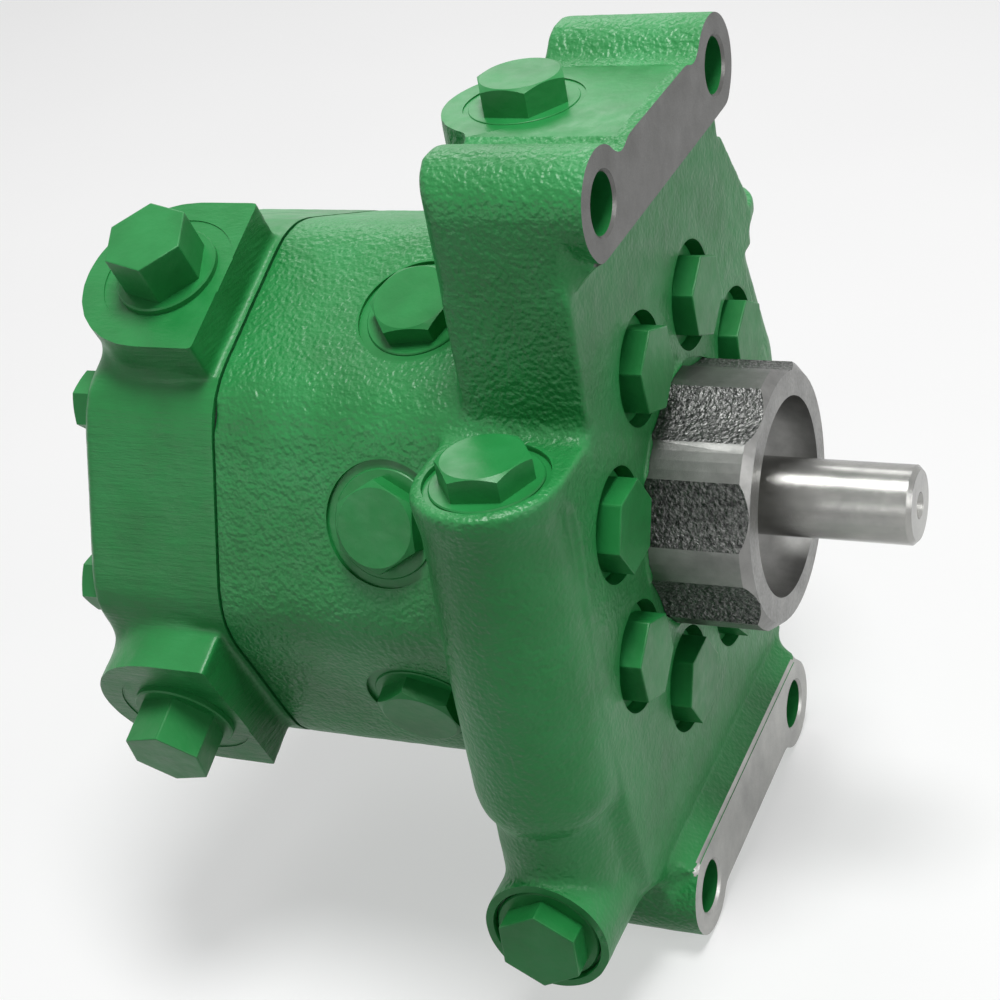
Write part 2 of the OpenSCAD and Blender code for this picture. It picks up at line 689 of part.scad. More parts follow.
module cover_screws() color("seagreen")
    for (i = [0:flat_count - 1]) on_circle(screw_circle_r, i * flat_step) {
        rod_x(screw_r, cover_rear_x - 1, screw_end_x);
        intersection() {
            along_x(cover_rear_x - screw_head) cylinder(r = screw_af / 2 / cos(30), h = screw_head, $fn = 6);
            turned_x([[0, cover_rear_x], [screw_af, cover_rear_x],
                      [screw_af, cover_rear_x - screw_head + screw_edge],
                      [screw_af / 2 - 1, cover_rear_x - screw_head], [0, cover_rear_x - screw_head]]);
        }
    }

module shaft() color("silver") difference() {
    union() {
        turned_x([[0, shaft_end_x], [journal_r - 1, shaft_end_x], [journal_r, shaft_end_x + 1],
                  [journal_r, rear_bearing_x], [shoulder_r, rear_bearing_x],
                  [shoulder_r, eccentric_rear_x + shoulder_lap], [0, eccentric_rear_x + shoulder_lap]]);
        turned_x([[0, eccentric_front_x - shoulder_lap], [shoulder_r, eccentric_front_x - shoulder_lap],
                  [shoulder_r, front_bearing_x],
                  [journal_r, front_bearing_x], [journal_r, seal_back_x], [seal_journal_r, seal_back_x],
                  [seal_journal_r, -1.5], [seal_journal_r - 1.5, 0], [shaft_r, 0],
                  [shaft_r, shaft_reach - shaft_chamfer], [shaft_r - shaft_chamfer, shaft_reach],
                  [0, shaft_reach]]);
        translate([0, eccentricity, 0]) rod_x(eccentric_r, eccentric_rear_x, eccentric_front_x);
    }
    turned_x([[0, shaft_reach - centre_drill_depth], [centre_drill_r, shaft_reach - centre_drill_depth],
              [centre_drill_r, shaft_reach - 2], [centre_drill_r + 1.2, shaft_reach], [0, shaft_reach]]);
}

module race_ring() color("lightsteelblue") translate([0, eccentricity, 0]) turned_x([
    [race_bore_r, piston_x - race_width / 2], [race_r - 1, piston_x - race_width / 2],
    [race_r, piston_x - race_width / 2 + 1], [race_r, piston_x + race_width / 2 - 1],
    [race_r - 1, piston_x + race_width / 2], [race_bore_r, piston_x + race_width / 2]]);

module needle_bearing() color("gainsboro") translate([0, eccentricity, 0]) {
    for (i = [0:needle_count - 1]) on_circle(needle_circle_r, i * 360 / needle_count)
        rod_x(needle_r, piston_x - needle_length / 2, piston_x + needle_length / 2);
    difference() {
        ring_x(needle_circle_r + 0.9, needle_circle_r - 0.9, piston_x - race_width / 2 + 0.2,
               piston_x + race_width / 2 - 0.2);
        for (i = [0:needle_count - 1]) on_circle(needle_circle_r, i * 360 / needle_count)
            rod_x(needle_r + 0.15, piston_x - needle_length / 2 - 0.2, piston_x + needle_length / 2 + 0.2);
    }
}

module thrust_washers() color("goldenrod") {
    ring_x(washer_r, shoulder_r + fixed_gap, eccentric_front_x, eccentric_front_x + washer_thick);
    ring_x(washer_r, shoulder_r + fixed_gap, eccentric_rear_x - washer_thick, eccentric_rear_x);
}

// Tapered bearing, with its thick end at the origin and its thin end along +X
function inner_race(x) = (roller_apex - x) * tan(roller_slope - roller_half) - running_gap;
function outer_race(x) = (roller_apex - x) * tan(roller_slope + roller_half) + running_gap;
function mean_race(x) = (roller_apex - x) * tan(roller_slope);

module bearing_cone() turned_x([
    [journal_r + fixed_gap, 0], [inner_race(0) + rib_height, 0],
    [inner_race(rib_width) + rib_height, rib_width], [inner_race(rib_width), rib_width],
    [inner_race(bearing_width - rib_width), bearing_width - rib_width],
    [inner_race(bearing_width - rib_width) + 1, bearing_width - rib_width],
    [inner_race(bearing_width) + 1, bearing_width], [journal_r + fixed_gap, bearing_width]]);

module bearing_cup() turned_x([
    [outer_race(0), 0], [bearing_r, 0], [bearing_r, bearing_width],
    [outer_race(bearing_width), bearing_width]]);

module tapered_roller(extra) translate([bearing_width / 2, 0, 0])
    translate([0, roller_circle_r, 0]) rotate([0, 0, -roller_slope])
        along_x(-roller_length / 2 - extra) cylinder(
            r1 = roller_r + extra + (roller_length / 2 + extra) * tan(roller_half),
            r2 = roller_r + extra - (roller_length / 2 + extra) * tan(roller_half),
            h = roller_length + 2 * extra);

module bearing_rollers() {
    for (i = [0:roller_count - 1]) rotate([i * 360 / roller_count, 0, 0]) tapered_roller(0);
    difference() {
        turned_x([[mean_race(cage_edge) + 0.3, cage_edge], [mean_race(cage_edge) + 1.5, cage_edge],
                  [mean_race(bearing_width - cage_edge) + 1.5, bearing_width - cage_edge],
                  [mean_race(bearing_width - cage_edge) + 0.3, bearing_width - cage_edge]]);
        for (i = [0:roller_count - 1]) rotate([i * 360 / roller_count, 0, 0]) tapered_roller(0.2);
    }
}

module front_bearing() translate([front_bearing_x, 0, 0]) children();
module rear_bearing() translate([rear_bearing_x, 0, 0]) mirror([1, 0, 0]) children();

module front_bearing_cone() color("silver") front_bearing() bearing_cone();
module front_bearing_cup() color("lightgray") front_bearing() bearing_cup();
module front_bearing_rollers() color("gainsboro") front_bearing() bearing_rollers();
module rear_bearing_cone() color("silver") rear_bearing() bearing_cone();
module rear_bearing_cup() color("lightgray") rear_bearing() bearing_cup();
module rear_bearing_rollers() color("gainsboro") rear_bearing() bearing_rollers();

module bearing_shims() color("darkkhaki")
    ring_x(bearing_r - 0.1, relief_r + 1, rear_seat_x, rear_bearing_x - bearing_width);

module shaft_seal() color("saddlebrown") turned_x([
    [seal_journal_r + 2.5, -seal_depth - seal_width], [seal_r, -seal_depth - seal_width],
    [seal_r, -seal_depth], [seal_journal_r + 1, -seal_depth], [seal_journal_r + running_gap, -seal_depth - 2],
    [seal_journal_r + running_gap, -seal_depth - 3], [seal_journal_r + 2.5, -seal_depth - 5]]);

module seal_snap_ring() color("gray") difference() {
    ring_x(ring_groove_r - 0.1, seal_r - 2.5, -seal_depth, -seal_depth + snap_ring_thick);
    translate([-seal_depth - 1, -2, 0]) cube([snap_ring_thick + 2, 4, hub_mouth_r]);
}

module piston(i) color("silver") outward(first_flat + (i - 1) * flat_step, piston_x)
    rotate_extrude() polygon([
        [0, piston_inner], [piston_r - 0.8, piston_inner], [piston_r, piston_inner + 0.8],
        [piston_r, piston_outer - 0.5], [piston_r - 0.5, piston_outer], [piston_hollow_r, piston_outer],
        [piston_hollow_r, piston_floor], [0, piston_floor]]);

module piston_springs() color("slategray")
    for (i = [0:flat_count - 1]) outward(first_flat + i * flat_step, piston_x)
        translate([0, 0, piston_floor + coil_slack])
            coil(piston_hollow_r - 1.6, piston_wire,
                 piston_plug_inner + plug_hollow - piston_floor - 2 * coil_slack, 5);

module piston_plugs() color("seagreen")
    for (i = [0:flat_count - 1]) outward(first_flat + i * flat_step, piston_x)
        translate([0, 0, piston_plug_seat]) hex_plug(piston_plug_r, piston_plug_seat - piston_plug_inner,
                                                     piston_hex_height, piston_hollow_r, plug_hollow);

module piston_plug_orings() color("black")
    for (i = [0:flat_count - 1]) outward(first_flat + i * flat_step, piston_x)
        translate([0, 0, piston_plug_seat]) plug_oring(piston_plug_r);

module outlet_valve(i) color("silver") on_circle(valve_circle_r, first_flat + (i - 1) * flat_step) turned_x([
    [0, valve_seat_x], [valve_head_r - 1, valve_seat_x], [valve_head_r, valve_seat_x + 1],
    [valve_head_r, valve_seat_x + head_thick], [stem_r, valve_seat_x + head_thick],
    [stem_r, valve_plug_x - valve_thread + stem_engaged], [0, valve_plug_x - valve_thread + stem_engaged]]);

module outlet_valve_springs() color("slategray")
    for (i = [0:flat_count - 1]) on_circle(valve_circle_r, first_flat + i * flat_step)
        along_x(valve_seat_x + head_thick + coil_slack)
            coil(stem_r + 2, valve_wire,
                 valve_plug_x - valve_thread - valve_seat_x - head_thick - 2 * coil_slack, 4);

module outlet_valve_plugs() color("seagreen")
    for (i = [0:flat_count - 1]) on_circle(valve_circle_r, first_flat + i * flat_step)
        along_x(valve_plug_x) hex_plug(valve_plug_r, valve_thread, valve_hex_height, stem_r + 0.3,
                                       stem_engaged + valve_lift + 1);

module outlet_plug_orings() color("black")
    for (i = [0:flat_count - 1]) on_circle(valve_circle_r, first_flat + i * flat_step)
        along_x(valve_plug_x) plug_oring(valve_plug_r);

module inlet_valve(i) color("silver") on_circle(inlet_circle_r, first_flat + (i - 1) * flat_step) {
    turned_x([[0, cage_seat_x], [valve_head_r - 1, cage_seat_x], [valve_head_r, cage_seat_x + 1],
              [valve_head_r, cage_seat_x + head_thick], [stem_r, cage_seat_x + head_thick],
              [stem_r, inlet_seat_x - 4], [0, inlet_seat_x - 4]]);
    intersection() {
        rod_x(cage_bore_r - 0.1, cage_seat_x - guide_length, cage_seat_x + 1);
        for (turn = [0, 90]) rotate([turn, 0, 0])
            translate([cage_seat_x - guide_length, -cage_bore_r, -wing_thick / 2])
                cube([guide_length + 0.5, 2 * cage_bore_r, wing_thick]);
    }
}

module inlet_valve_springs() color("slategray")
    for (i = [0:flat_count - 1]) on_circle(inlet_circle_r, first_flat + i * flat_step)
        along_x(cage_seat_x + head_thick + coil_slack)
            coil(stem_r + 3, valve_wire, inlet_seat_x - cage_seat_x - head_thick - 2 * coil_slack, 3);

module inlet_valve_cages() color("darkgray")
    for (i = [0:flat_count - 1]) on_circle(inlet_circle_r, first_flat + i * flat_step)
        ring_x(inlet_bore_r - fixed_gap, cage_bore_r, joint_x + end_gap, cage_seat_x);

// Grooved control valve that slides in the cover, pointing along +Z
module control_valve() rotate_extrude() polygon([
    [0, control_bore_end], [pilot_bore_r, control_bore_end],
    [control_bore_r - running_gap, control_bore_end + 1],
    [control_bore_r - running_gap, control_bore_end + 5], [control_bore_r - 2, control_bore_end + 5],
    [control_bore_r - 2, control_bore_end + 8], [control_bore_r - running_gap, control_bore_end + 8],
    [control_bore_r - running_gap, control_bore_end + control_valve_length],
    [0, control_bore_end + control_valve_length]]);

module control_spring() translate([0, 0, control_bore_end + control_valve_length + coil_slack])
    coil(control_bore_r - 2, control_wire,
         control_seat - control_thread - control_bore_end - control_valve_length - 2 * coil_slack, 5);

module control_plug() translate([0, 0, control_seat])
    hex_plug(port_plug_r, control_thread, cover_hex_height, pilot_bore_r, control_travel + 0.5);

module stroke_control_valve() color("silver") outward(control_angle, boss_x) control_valve();
module stroke_control_spring() color("slategray") outward(control_angle, boss_x) control_spring();
module stroke_control_plug() color("seagreen") outward(control_angle, boss_x) control_plug();
module crankcase_outlet_valve() color("silver") outward(crankcase_valve_angle, boss_x) control_valve();
module crankcase_outlet_spring() color("slategray") outward(crankcase_valve_angle, boss_x) control_spring();
module crankcase_outlet_plug() color("seagreen") outward(crankcase_valve_angle, boss_x) control_plug();

module control_plug_orings() color("black")
    for (a = [control_angle, crankcase_valve_angle]) outward(a, boss_x)
        translate([0, 0, control_seat]) plug_oring(port_plug_r);

// Places what is drawn along +Z on the seat of each port in the housing
module at_ports() {
    translate([port_x, 0, shelf_seat]) children();
    for (side = [-1, 1]) translate([gallery_x, side * gallery_side, gallery_seat]) children();
    translate([gallery_x, -cross_port_seat, -cross_port_drop]) rotate([90, 0, 0]) children();
}

module port_plugs() color("seagreen") at_ports()
    hex_plug(port_plug_r, port_thread, port_hex_height, pilot_bore_r, 3);
module port_plug_orings() color("black") at_ports() plug_oring(port_plug_r);

housing();
rear_cover();
cover_gasket();
cover_oring();
cover_screws();
shaft();
race_ring();
needle_bearing();
thrust_washers();
front_bearing_cone();
front_bearing_cup();
front_bearing_rollers();
rear_bearing_cone();
rear_bearing_cup();
rear_bearing_rollers();
bearing_shims();
shaft_seal();
seal_snap_ring();
piston_springs();
piston_plugs();
piston_plug_orings();
outlet_valve_springs();
outlet_valve_plugs();
outlet_plug_orings();
inlet_valve_springs();
inlet_valve_cages();
stroke_control_valve();
stroke_control_spring();
stroke_control_plug();
crankcase_outlet_valve();
crankcase_outlet_spring();
crankcase_outlet_plug();
control_plug_orings();
port_plugs();
port_plug_orings();
for (i = [1:flat_count]) {
    piston(i);
    outlet_valve(i);
    inlet_valve(i);
}
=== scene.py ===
"""Looks of the hydraulic pump: cast and painted skins, machined faces, studio light and camera."""
import json
import math
from typing import NamedTuple

import bmesh
import bpy
import numpy as np
from mathutils import Matrix, Vector, noise


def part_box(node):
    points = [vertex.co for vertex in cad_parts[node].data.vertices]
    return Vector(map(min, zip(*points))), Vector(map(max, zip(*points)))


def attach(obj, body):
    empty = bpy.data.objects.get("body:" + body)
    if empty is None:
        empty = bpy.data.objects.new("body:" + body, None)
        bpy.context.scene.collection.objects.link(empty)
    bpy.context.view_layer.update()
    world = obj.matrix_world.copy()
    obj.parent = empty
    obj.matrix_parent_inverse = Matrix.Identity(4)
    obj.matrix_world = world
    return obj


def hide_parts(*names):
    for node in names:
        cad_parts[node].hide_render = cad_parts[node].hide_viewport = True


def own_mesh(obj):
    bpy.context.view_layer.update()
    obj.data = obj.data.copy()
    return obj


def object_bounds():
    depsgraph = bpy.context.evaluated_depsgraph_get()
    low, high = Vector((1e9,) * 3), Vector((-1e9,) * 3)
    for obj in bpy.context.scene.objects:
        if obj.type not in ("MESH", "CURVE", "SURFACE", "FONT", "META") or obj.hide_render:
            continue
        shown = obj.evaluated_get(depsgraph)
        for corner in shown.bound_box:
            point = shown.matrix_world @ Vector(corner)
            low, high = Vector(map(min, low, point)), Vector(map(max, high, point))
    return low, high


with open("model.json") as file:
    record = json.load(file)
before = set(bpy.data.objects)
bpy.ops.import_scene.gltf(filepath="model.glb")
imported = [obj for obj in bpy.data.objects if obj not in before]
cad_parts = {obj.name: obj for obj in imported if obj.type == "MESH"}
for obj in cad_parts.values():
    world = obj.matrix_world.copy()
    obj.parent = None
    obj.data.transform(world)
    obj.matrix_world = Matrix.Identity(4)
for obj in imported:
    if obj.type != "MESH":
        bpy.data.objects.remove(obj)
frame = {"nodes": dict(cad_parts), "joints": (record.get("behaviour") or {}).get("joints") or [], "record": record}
cad_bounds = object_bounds()
nodes = frame["nodes"]
MM = 0.001

# Camera, as solved from the photograph: angles in degrees, lengths in metres
AZIMUTH = 28.628
ELEVATION = 30.699
ROLL = -11.406
LENS_MM = 75.66
SENSOR_MM = 36.0
ORIGIN_RIGHT = 0.060577
ORIGIN_DOWN = -0.002447
DISTANCE = 0.5970

# Main sizes of the pump, in millimetres, as on the solid model
PISTON_X = -65.0
FLAT_RADIUS = 77.2
JOINT_X = -116.7
FACE_X = -7.0
HUB_R = 38.0
HUB_FRONT = 22.3
SCALLOP_R = 40.0
SCALLOP_DEPTH = 2.3
SCALLOP_CENTRE = HUB_R + SCALLOP_R - SCALLOP_DEPTH
EAR_Y = 44.25
EAR_Z = 110.0
EAR_SIDE = 58.75
PAD_INNER = 96.9
BOLT_R = 7.8
VALVE_CIRCLE = 55.6
VALVE_SEAT_X = -13.0
PORT_X = -37.5
SHELF_Z = 118.5
SHELF_R = 22.5
GALLERY_X = -27.4
GALLERY_Y = 79.5
GALLERY_TOP = 52.0
LINK_X = -24.0
CROSS_Y = -98.0
CROSS_Z = -85.5
CROSS_R = 18.3
COVER_FRONT_X = -117.5
COVER_REAR_X = -161.2
BOSS_X = -138.5
BOSS_HEIGHT = 90.0
BOSS_HALF_WIDTH = 26.3
SCREW_CIRCLE = 68.0
CONTROL_ANGLES = (112.5, 202.5)
PISTON_ANGLES = [22.5 + 45 * i for i in range(8)]

# Fillers of the solid model's holes: each goes a little past its hole, and a pair is a depth and a radius
CRANKCASE_FILL_R = 72.0
CRANKCASE_FRONT_X = -30.0
FACE_FILL_R = 60.0
FACE_FILL_X = -40.0
MOUTH_FILL_R = 34.0
MOUTH_FILL_INSET = 2.0
MOUTH_FILL_DEPTH = 5.0
PISTON_FILL_R = 18.0
PISTON_FILL_FROM = 40.0
VALVE_FILL_R = 16.3
VALVE_FILL_X = -44.0
BOLT_FILL_R = BOLT_R + 2
UPPER_EAR_X = -44.0
LOWER_EAR_X = -27.0
PORT_FILL_R = 17.5
PORT_FILL_FROM = 40.0
LINK_FILL_R = 5.0
GALLERY_RECESS_FILL = (4.0, 18.0)
GALLERY_PLUG_FILL = (14.0, 14.0)
GALLERY_FILL_R = 9.0
SHORT_GALLERY_LOW = -10.0
CROSS_FILL_R = 15.0
CROSS_FILL_FROM = -70.0
CROSS_RECESS_FILL = (4.0, 17.5)
COVER_FLOOR = 4.0
SPIGOT_FILL_R = 40.5
SPIGOT_FRONT_X = -79.5
BOSS_FILL_R = 17.5
BOSS_FILL_FROM = 30.0
SCREW_FILL_R = 6.5

# Webs between the casting's columns as outlines of y and z, and the slope by a pad as one of x and z
LOW_WEB_FRONT = ((-55, -14), (-GALLERY_Y, -14), (-76, -46), (-70, -88), (-55, -98))
LOW_WEB_BACK = ((-55, -14), (-GALLERY_Y, -14), (-GALLERY_Y, -90), (-55, -98))
LOW_WEB_BACK_X = (-13, -22)
FAR_WEB = ((50, 40), (50, 84), (EAR_SIDE + 3, 82), (67.5, 70), (78, 56), (76, 40))
FAR_WEB_DEPTH = 7.0
PAD_SLOPE = ((FACE_X, PAD_INNER - 6), (-0.8, PAD_INNER), (-12, PAD_INNER + 2), (-12, PAD_INNER - 6))
PAD_SLOPE_INSET = 4.0

# Plugs and their seats in millimetres, and turns in degrees, as seen in the photograph where they show
PLUG_AF = 22.2
PLUG_EDGE = 0.45
PLUG_SINK = 0.1
CHAMFER_WIDTH = 0.3
CHAMFER_SLOPE = 0.55
CHAMFER_STEPS = 72
FLANGE_R = 15.0
THREAD_R = 11.0
THREAD_LENGTH = 8.0
VALVE_RECESS_R = 15.7
PISTON_RECESS_R = 17.4
PISTON_RECESS = 1.0
SHELF_RECESS = 0.4
GALLERY_RECESS_R = 16.5
GALLERY_RECESS = 1.4
CROSS_RECESS_R = 15.7
CROSS_RECESS = 3.0
COVER_SPOT_R = 19.5
COVER_RECESS = 0.3
VALVE_TURNS = (6, 26.5, 45, 25, 14, 54, 20, 40)
PISTON_TURNS = (15, 50, 7.7, 33, 36, 42, 22, 5)
COVER_TURNS = (45.5, 17.8)
SHELF_TURN = 57
GALLERY_TURNS = (9, 25)
CROSS_TURN = 28

# Metal left on machined faces before they are cut, and on the two joint faces, whose edges stay soft
ALLOWANCE = 2.5
JOINT_ALLOWANCE = 1.5

# Reach of the cutters past what they cut
OVERCUT = 9.0
RECESS_OVERCUT = 8.0
BOLT_CUT = (-50.0, 5.0)
BOSS_CUT_R = 40.0
SHELF_CUT_REAR = 3.0
SHELF_CUT_SIDE = 1.0
SHELF_CUT_FRONT = 4.0
CROSS_CUT_MARGIN = 2.0
HUB_SEAT_DEPTH = 0.2
HUB_SEAT_MARGIN = 0.25
HUB_CUT_FRONT = 5.0

# How faces are told apart: nearness to a face, slack about a recess, and where only the ears lie
ON_FACE = 0.01
SLACK = 0.05
EARS_FROM = 85.0
LEVEL_NORMAL = 0.99
RIM_DEPTH = 1.1
RIM_NORMAL = 0.3
SCALLOP_SLACK = 0.1
SCALLOP_INNER_R = HUB_R - 3

# Broken edges and trims
LIP = 0.6
LIP_INWARD = 0.3
LIP_OUTWARD = 0.7
HOLE_CHAMFER = 0.8
GASKET_TRIM = 1.2
GASKET_OUTER_R = 71.0
SPRING_REACH = 12.0

# Voxel size of the cast skins in millimetres, and rounds of smoothing as counted at the coarse size
COARSE_VOXEL = 0.9
VOXEL = 0.75
SKIN_ROUNDS = 16
LEDGE_ROUNDS = 40
COVER_ROUNDS = 7
ROOT_ROUNDS = 60

# Smoothing of the skins: strengths, and the reaches in millimetres over which they fade
SKIN_WEIGHT = 0.5
CRISP_WEIGHT = 0.4
CRISP_REACH = 4.0
LEDGE_REACH = 5.0
STEP_REACH = 6.0
COVER_WEIGHT = 0.4
ROOT_OFFSET = 2.0
ROOT_HEIGHT_REACH = 7.0
ROOT_WIDTH_REACH = 9.0
ROOT_FRONT = 5.0
ROOT_FRONT_REACH = 8.0

# Relief of the painted iron: heights in millimetres and grain per metre
PEEL_HEIGHT = 0.22
PEEL_WEIGHT = 0.4
COVER_PEEL_HEIGHT = 0.05
PEEL_GRAIN = 260

# Faces meeting at less than these angles, in degrees, are shaded as one
CAST_ANGLE = 38
TURNED_ANGLE = 12

# Material indices on the housing and on the hub; the lower pad's index takes a lighter copy of the pad iron as
# painted reflection
CAST, SMOOTH, UPPER_PAD, LOWER_PAD = range(4)
TURNED, ROUGH = range(2)


def at_angle(radius, degrees, x):
    """Point at a radius from the shaft, at an angle from +Y towards +Z."""
    a = math.radians(degrees)
    return Vector((x, radius * math.cos(a), radius * math.sin(a)))


def link(name, mesh):
    obj = bpy.data.objects.new(name, mesh)
    bpy.context.scene.collection.objects.link(obj)
    return obj


def rod(bm, start, end, radius, end_radius=None, segments=96):
    """Adds a closed cylinder or cone between two points, in millimetres."""
    start, end = Vector(start), Vector(end)
    along = end - start
    turn = Vector((0, 0, 1)).rotation_difference(along).to_matrix().to_4x4()
    place = Matrix.Translation((start + end) / 2 * MM) @ turn
    bmesh.ops.create_cone(bm, cap_ends=True, segments=segments, radius1=radius * MM,
                          radius2=(radius if end_radius is None else end_radius) * MM,
                          depth=along.length * MM, matrix=place)


def block(bm, low, high):
    """Adds a closed box, in millimetres."""
    low, high = Vector(low), Vector(high)
    size = (high - low) * MM
    place = Matrix.Translation((low + high) / 2 * MM) @ Matrix.Diagonal((*size, 1))
    bmesh.ops.create_cube(bm, size=1, matrix=place)


def wedge(bm, points):
    """Adds the closed convex solid round some points, in millimetres."""
    corners = [bm.verts.new(Vector(p) * MM) for p in points]
    result = bmesh.ops.convex_hull(bm, input=corners)
    inside = [v for v in result["geom_interior"] if isinstance(v, bmesh.types.BMVert)]
    bmesh.ops.delete(bm, geom=inside, context="VERTS")


def cut(obj, fill):
    """Cuts the closed solids that fill() adds out of obj, exactly."""
    bm = bmesh.new()
    fill(bm)
    mesh = bpy.data.meshes.new("cutter")
    bm.to_mesh(mesh)
    bm.free()
    tool = link("cutter", mesh)
    boolean = obj.modifiers.new("cut", "BOOLEAN")
    boolean.operation = "DIFFERENCE"
    boolean.solver = "MANIFOLD"
    boolean.object = tool
    apply_modifiers(obj)
    bpy.data.objects.remove(tool)


def apply_modifiers(obj):
    """Replaces obj's mesh with what its modifiers make of it."""
    bpy.context.view_layer.update()
    shaped = obj.evaluated_get(bpy.context.evaluated_depsgraph_get())
    mesh = bpy.data.meshes.new_from_object(shaped)
    obj.modifiers.clear()
    obj.data = mesh


def points_of(mesh):
    co = np.empty(len(mesh.vertices) * 3)
    mesh.vertices.foreach_get("co", co)
    return co.reshape(-1, 3)


def set_points(mesh, co):
    mesh.vertices.foreach_set("co", co.ravel())
    mesh.update()


def relax(mesh, weight, times):
    """Moves each vertex towards the mean of its neighbours, by its weight, so many times."""
    co = points_of(mesh)
    ends = np.empty(len(mesh.edges) * 2, np.int64)
    mesh.edges.foreach_get("vertices", ends)
    a, b = ends.reshape(-1, 2).T
    count = len(co)
    degree = np.bincount(a, minlength=count) + np.bincount(b, minlength=count)
    degree = np.maximum(degree, 1)
    for _ in range(times):
        mean = np.stack([np.bincount(a, co[b, k], count) + np.bincount(b, co[a, k], count)
                         for k in range(3)], axis=1) / degree[:, None]
        co += weight[:, None] * (mean - co)
    set_points(mesh, co)


def slice_at(obj, point, outward):
    """Cuts obj off flat at a plane, keeps the side behind it and closes the cut."""
    bm = bmesh.new()
    bm.from_mesh(obj.data)
    geometry = bm.verts[:] + bm.edges[:] + bm.faces[:]
    bmesh.ops.bisect_plane(bm, geom=geometry, plane_co=Vector(point) * MM, plane_no=outward,
                           clear_outer=True, dist=1e-7)
    rim = [e for e in bm.edges if len(e.link_faces) == 1]
    bmesh.ops.triangle_fill(bm, edges=rim, normal=outward, use_beauty=True)
    bm.to_mesh(obj.data)
    bm.free()


def keep_largest(obj):
    """Deletes every loose part of obj but the largest."""
    bm = bmesh.new()
    bm.from_mesh(obj.data)
    seen = set()
    parts = []
    for seed in bm.verts:
        if seed in seen:
            continue
        part = []
        stack = [seed]
        seen.add(seed)
        while stack:
            vert = stack.pop()
            part.append(vert)
            for edge in vert.link_edges:
                other = edge.other_vert(vert)
                if other not in seen:
                    seen.add(other)
                    stack.append(other)
        parts.append(part)
    parts.sort(key=len)
    spare = [v for part in parts[:-1] for v in part]
    bmesh.ops.delete(bm, geom=spare, context="VERTS")
    bm.to_mesh(obj.data)
    bm.free()


def rounds(count):
    """Rounds that smooth as far at this voxel size as count rounds do at the coarse one."""
    return round(count * (COARSE_VOXEL / VOXEL) ** 2)


def remeshed(name, node, prepare, fillers):
    """A closed voxel skin of a CAD node whose machined faces are first built up."""
    mesh = nodes[node].data.copy()
    mesh.materials.clear()
    co = points_of(mesh) / MM
    set_points(mesh, prepare(co) * MM)
    bm = bmesh.new()
    bm.from_mesh(mesh)
    bmesh.ops.remove_doubles(bm, verts=bm.verts[:], dist=1e-6)
    fillers(bm)
    bm.to_mesh(mesh)
    bm.free()
    obj = link(name, mesh)
    remesh = obj.modifiers.new("skin", "REMESH")
    remesh.mode = "VOXEL"
    remesh.voxel_size = VOXEL * MM
    apply_modifiers(obj)
    keep_largest(obj)
    return obj


def axis_distance(co, point, along):
    """Distance of each point from a line, and how far along it the point is."""
    rel = co - np.array(point)
    along = np.array(along, float)
    run = rel @ along
    return np.linalg.norm(rel - run[:, None] * along, axis=1), run


def orange_peel(mesh, weight, height):
    """Raises and lowers the surface a little, as on painted cast iron."""
    normals = np.empty(len(mesh.vertices) * 3)
    mesh.vertices.foreach_get("normal", normals)
    normals = normals.reshape(-1, 3)
    co = points_of(mesh)
    lift = np.array([noise.noise(Vector(p) * PEEL_GRAIN) for p in co])
    set_points(mesh, co + normals * (lift * weight * height * MM)[:, None])


def band(distance, reach):
    """Weight that falls from 1 to 0 over a reach."""
    return np.clip(1 - distance / reach, 0, 1)


def smooth_by_angle(mesh, degrees):
    mesh.shade_smooth()
    mesh.set_sharp_from_angle(angle=math.radians(degrees))


def housing_prepared(co):
    """Builds the machined faces of the housing up by the allowance."""
    x, y, z = co.T
    pads = (x > -ON_FACE) & (np.abs(z) > EARS_FROM)
    shelf = np.abs(z - SHELF_Z) < ON_FACE
    shelf &= (np.abs(y) < SHELF_R + 2 * SLACK) & (x < FACE_X + 2 * SLACK)
    cross = np.abs(y - CROSS_Y) < ON_FACE
    rear = x < JOINT_X + ON_FACE
    co = co.copy()
    co[pads, 0] += ALLOWANCE
    co[shelf, 2] += ALLOWANCE
    co[cross, 1] -= ALLOWANCE
    co[rear, 0] -= JOINT_ALLOWANCE
    return co


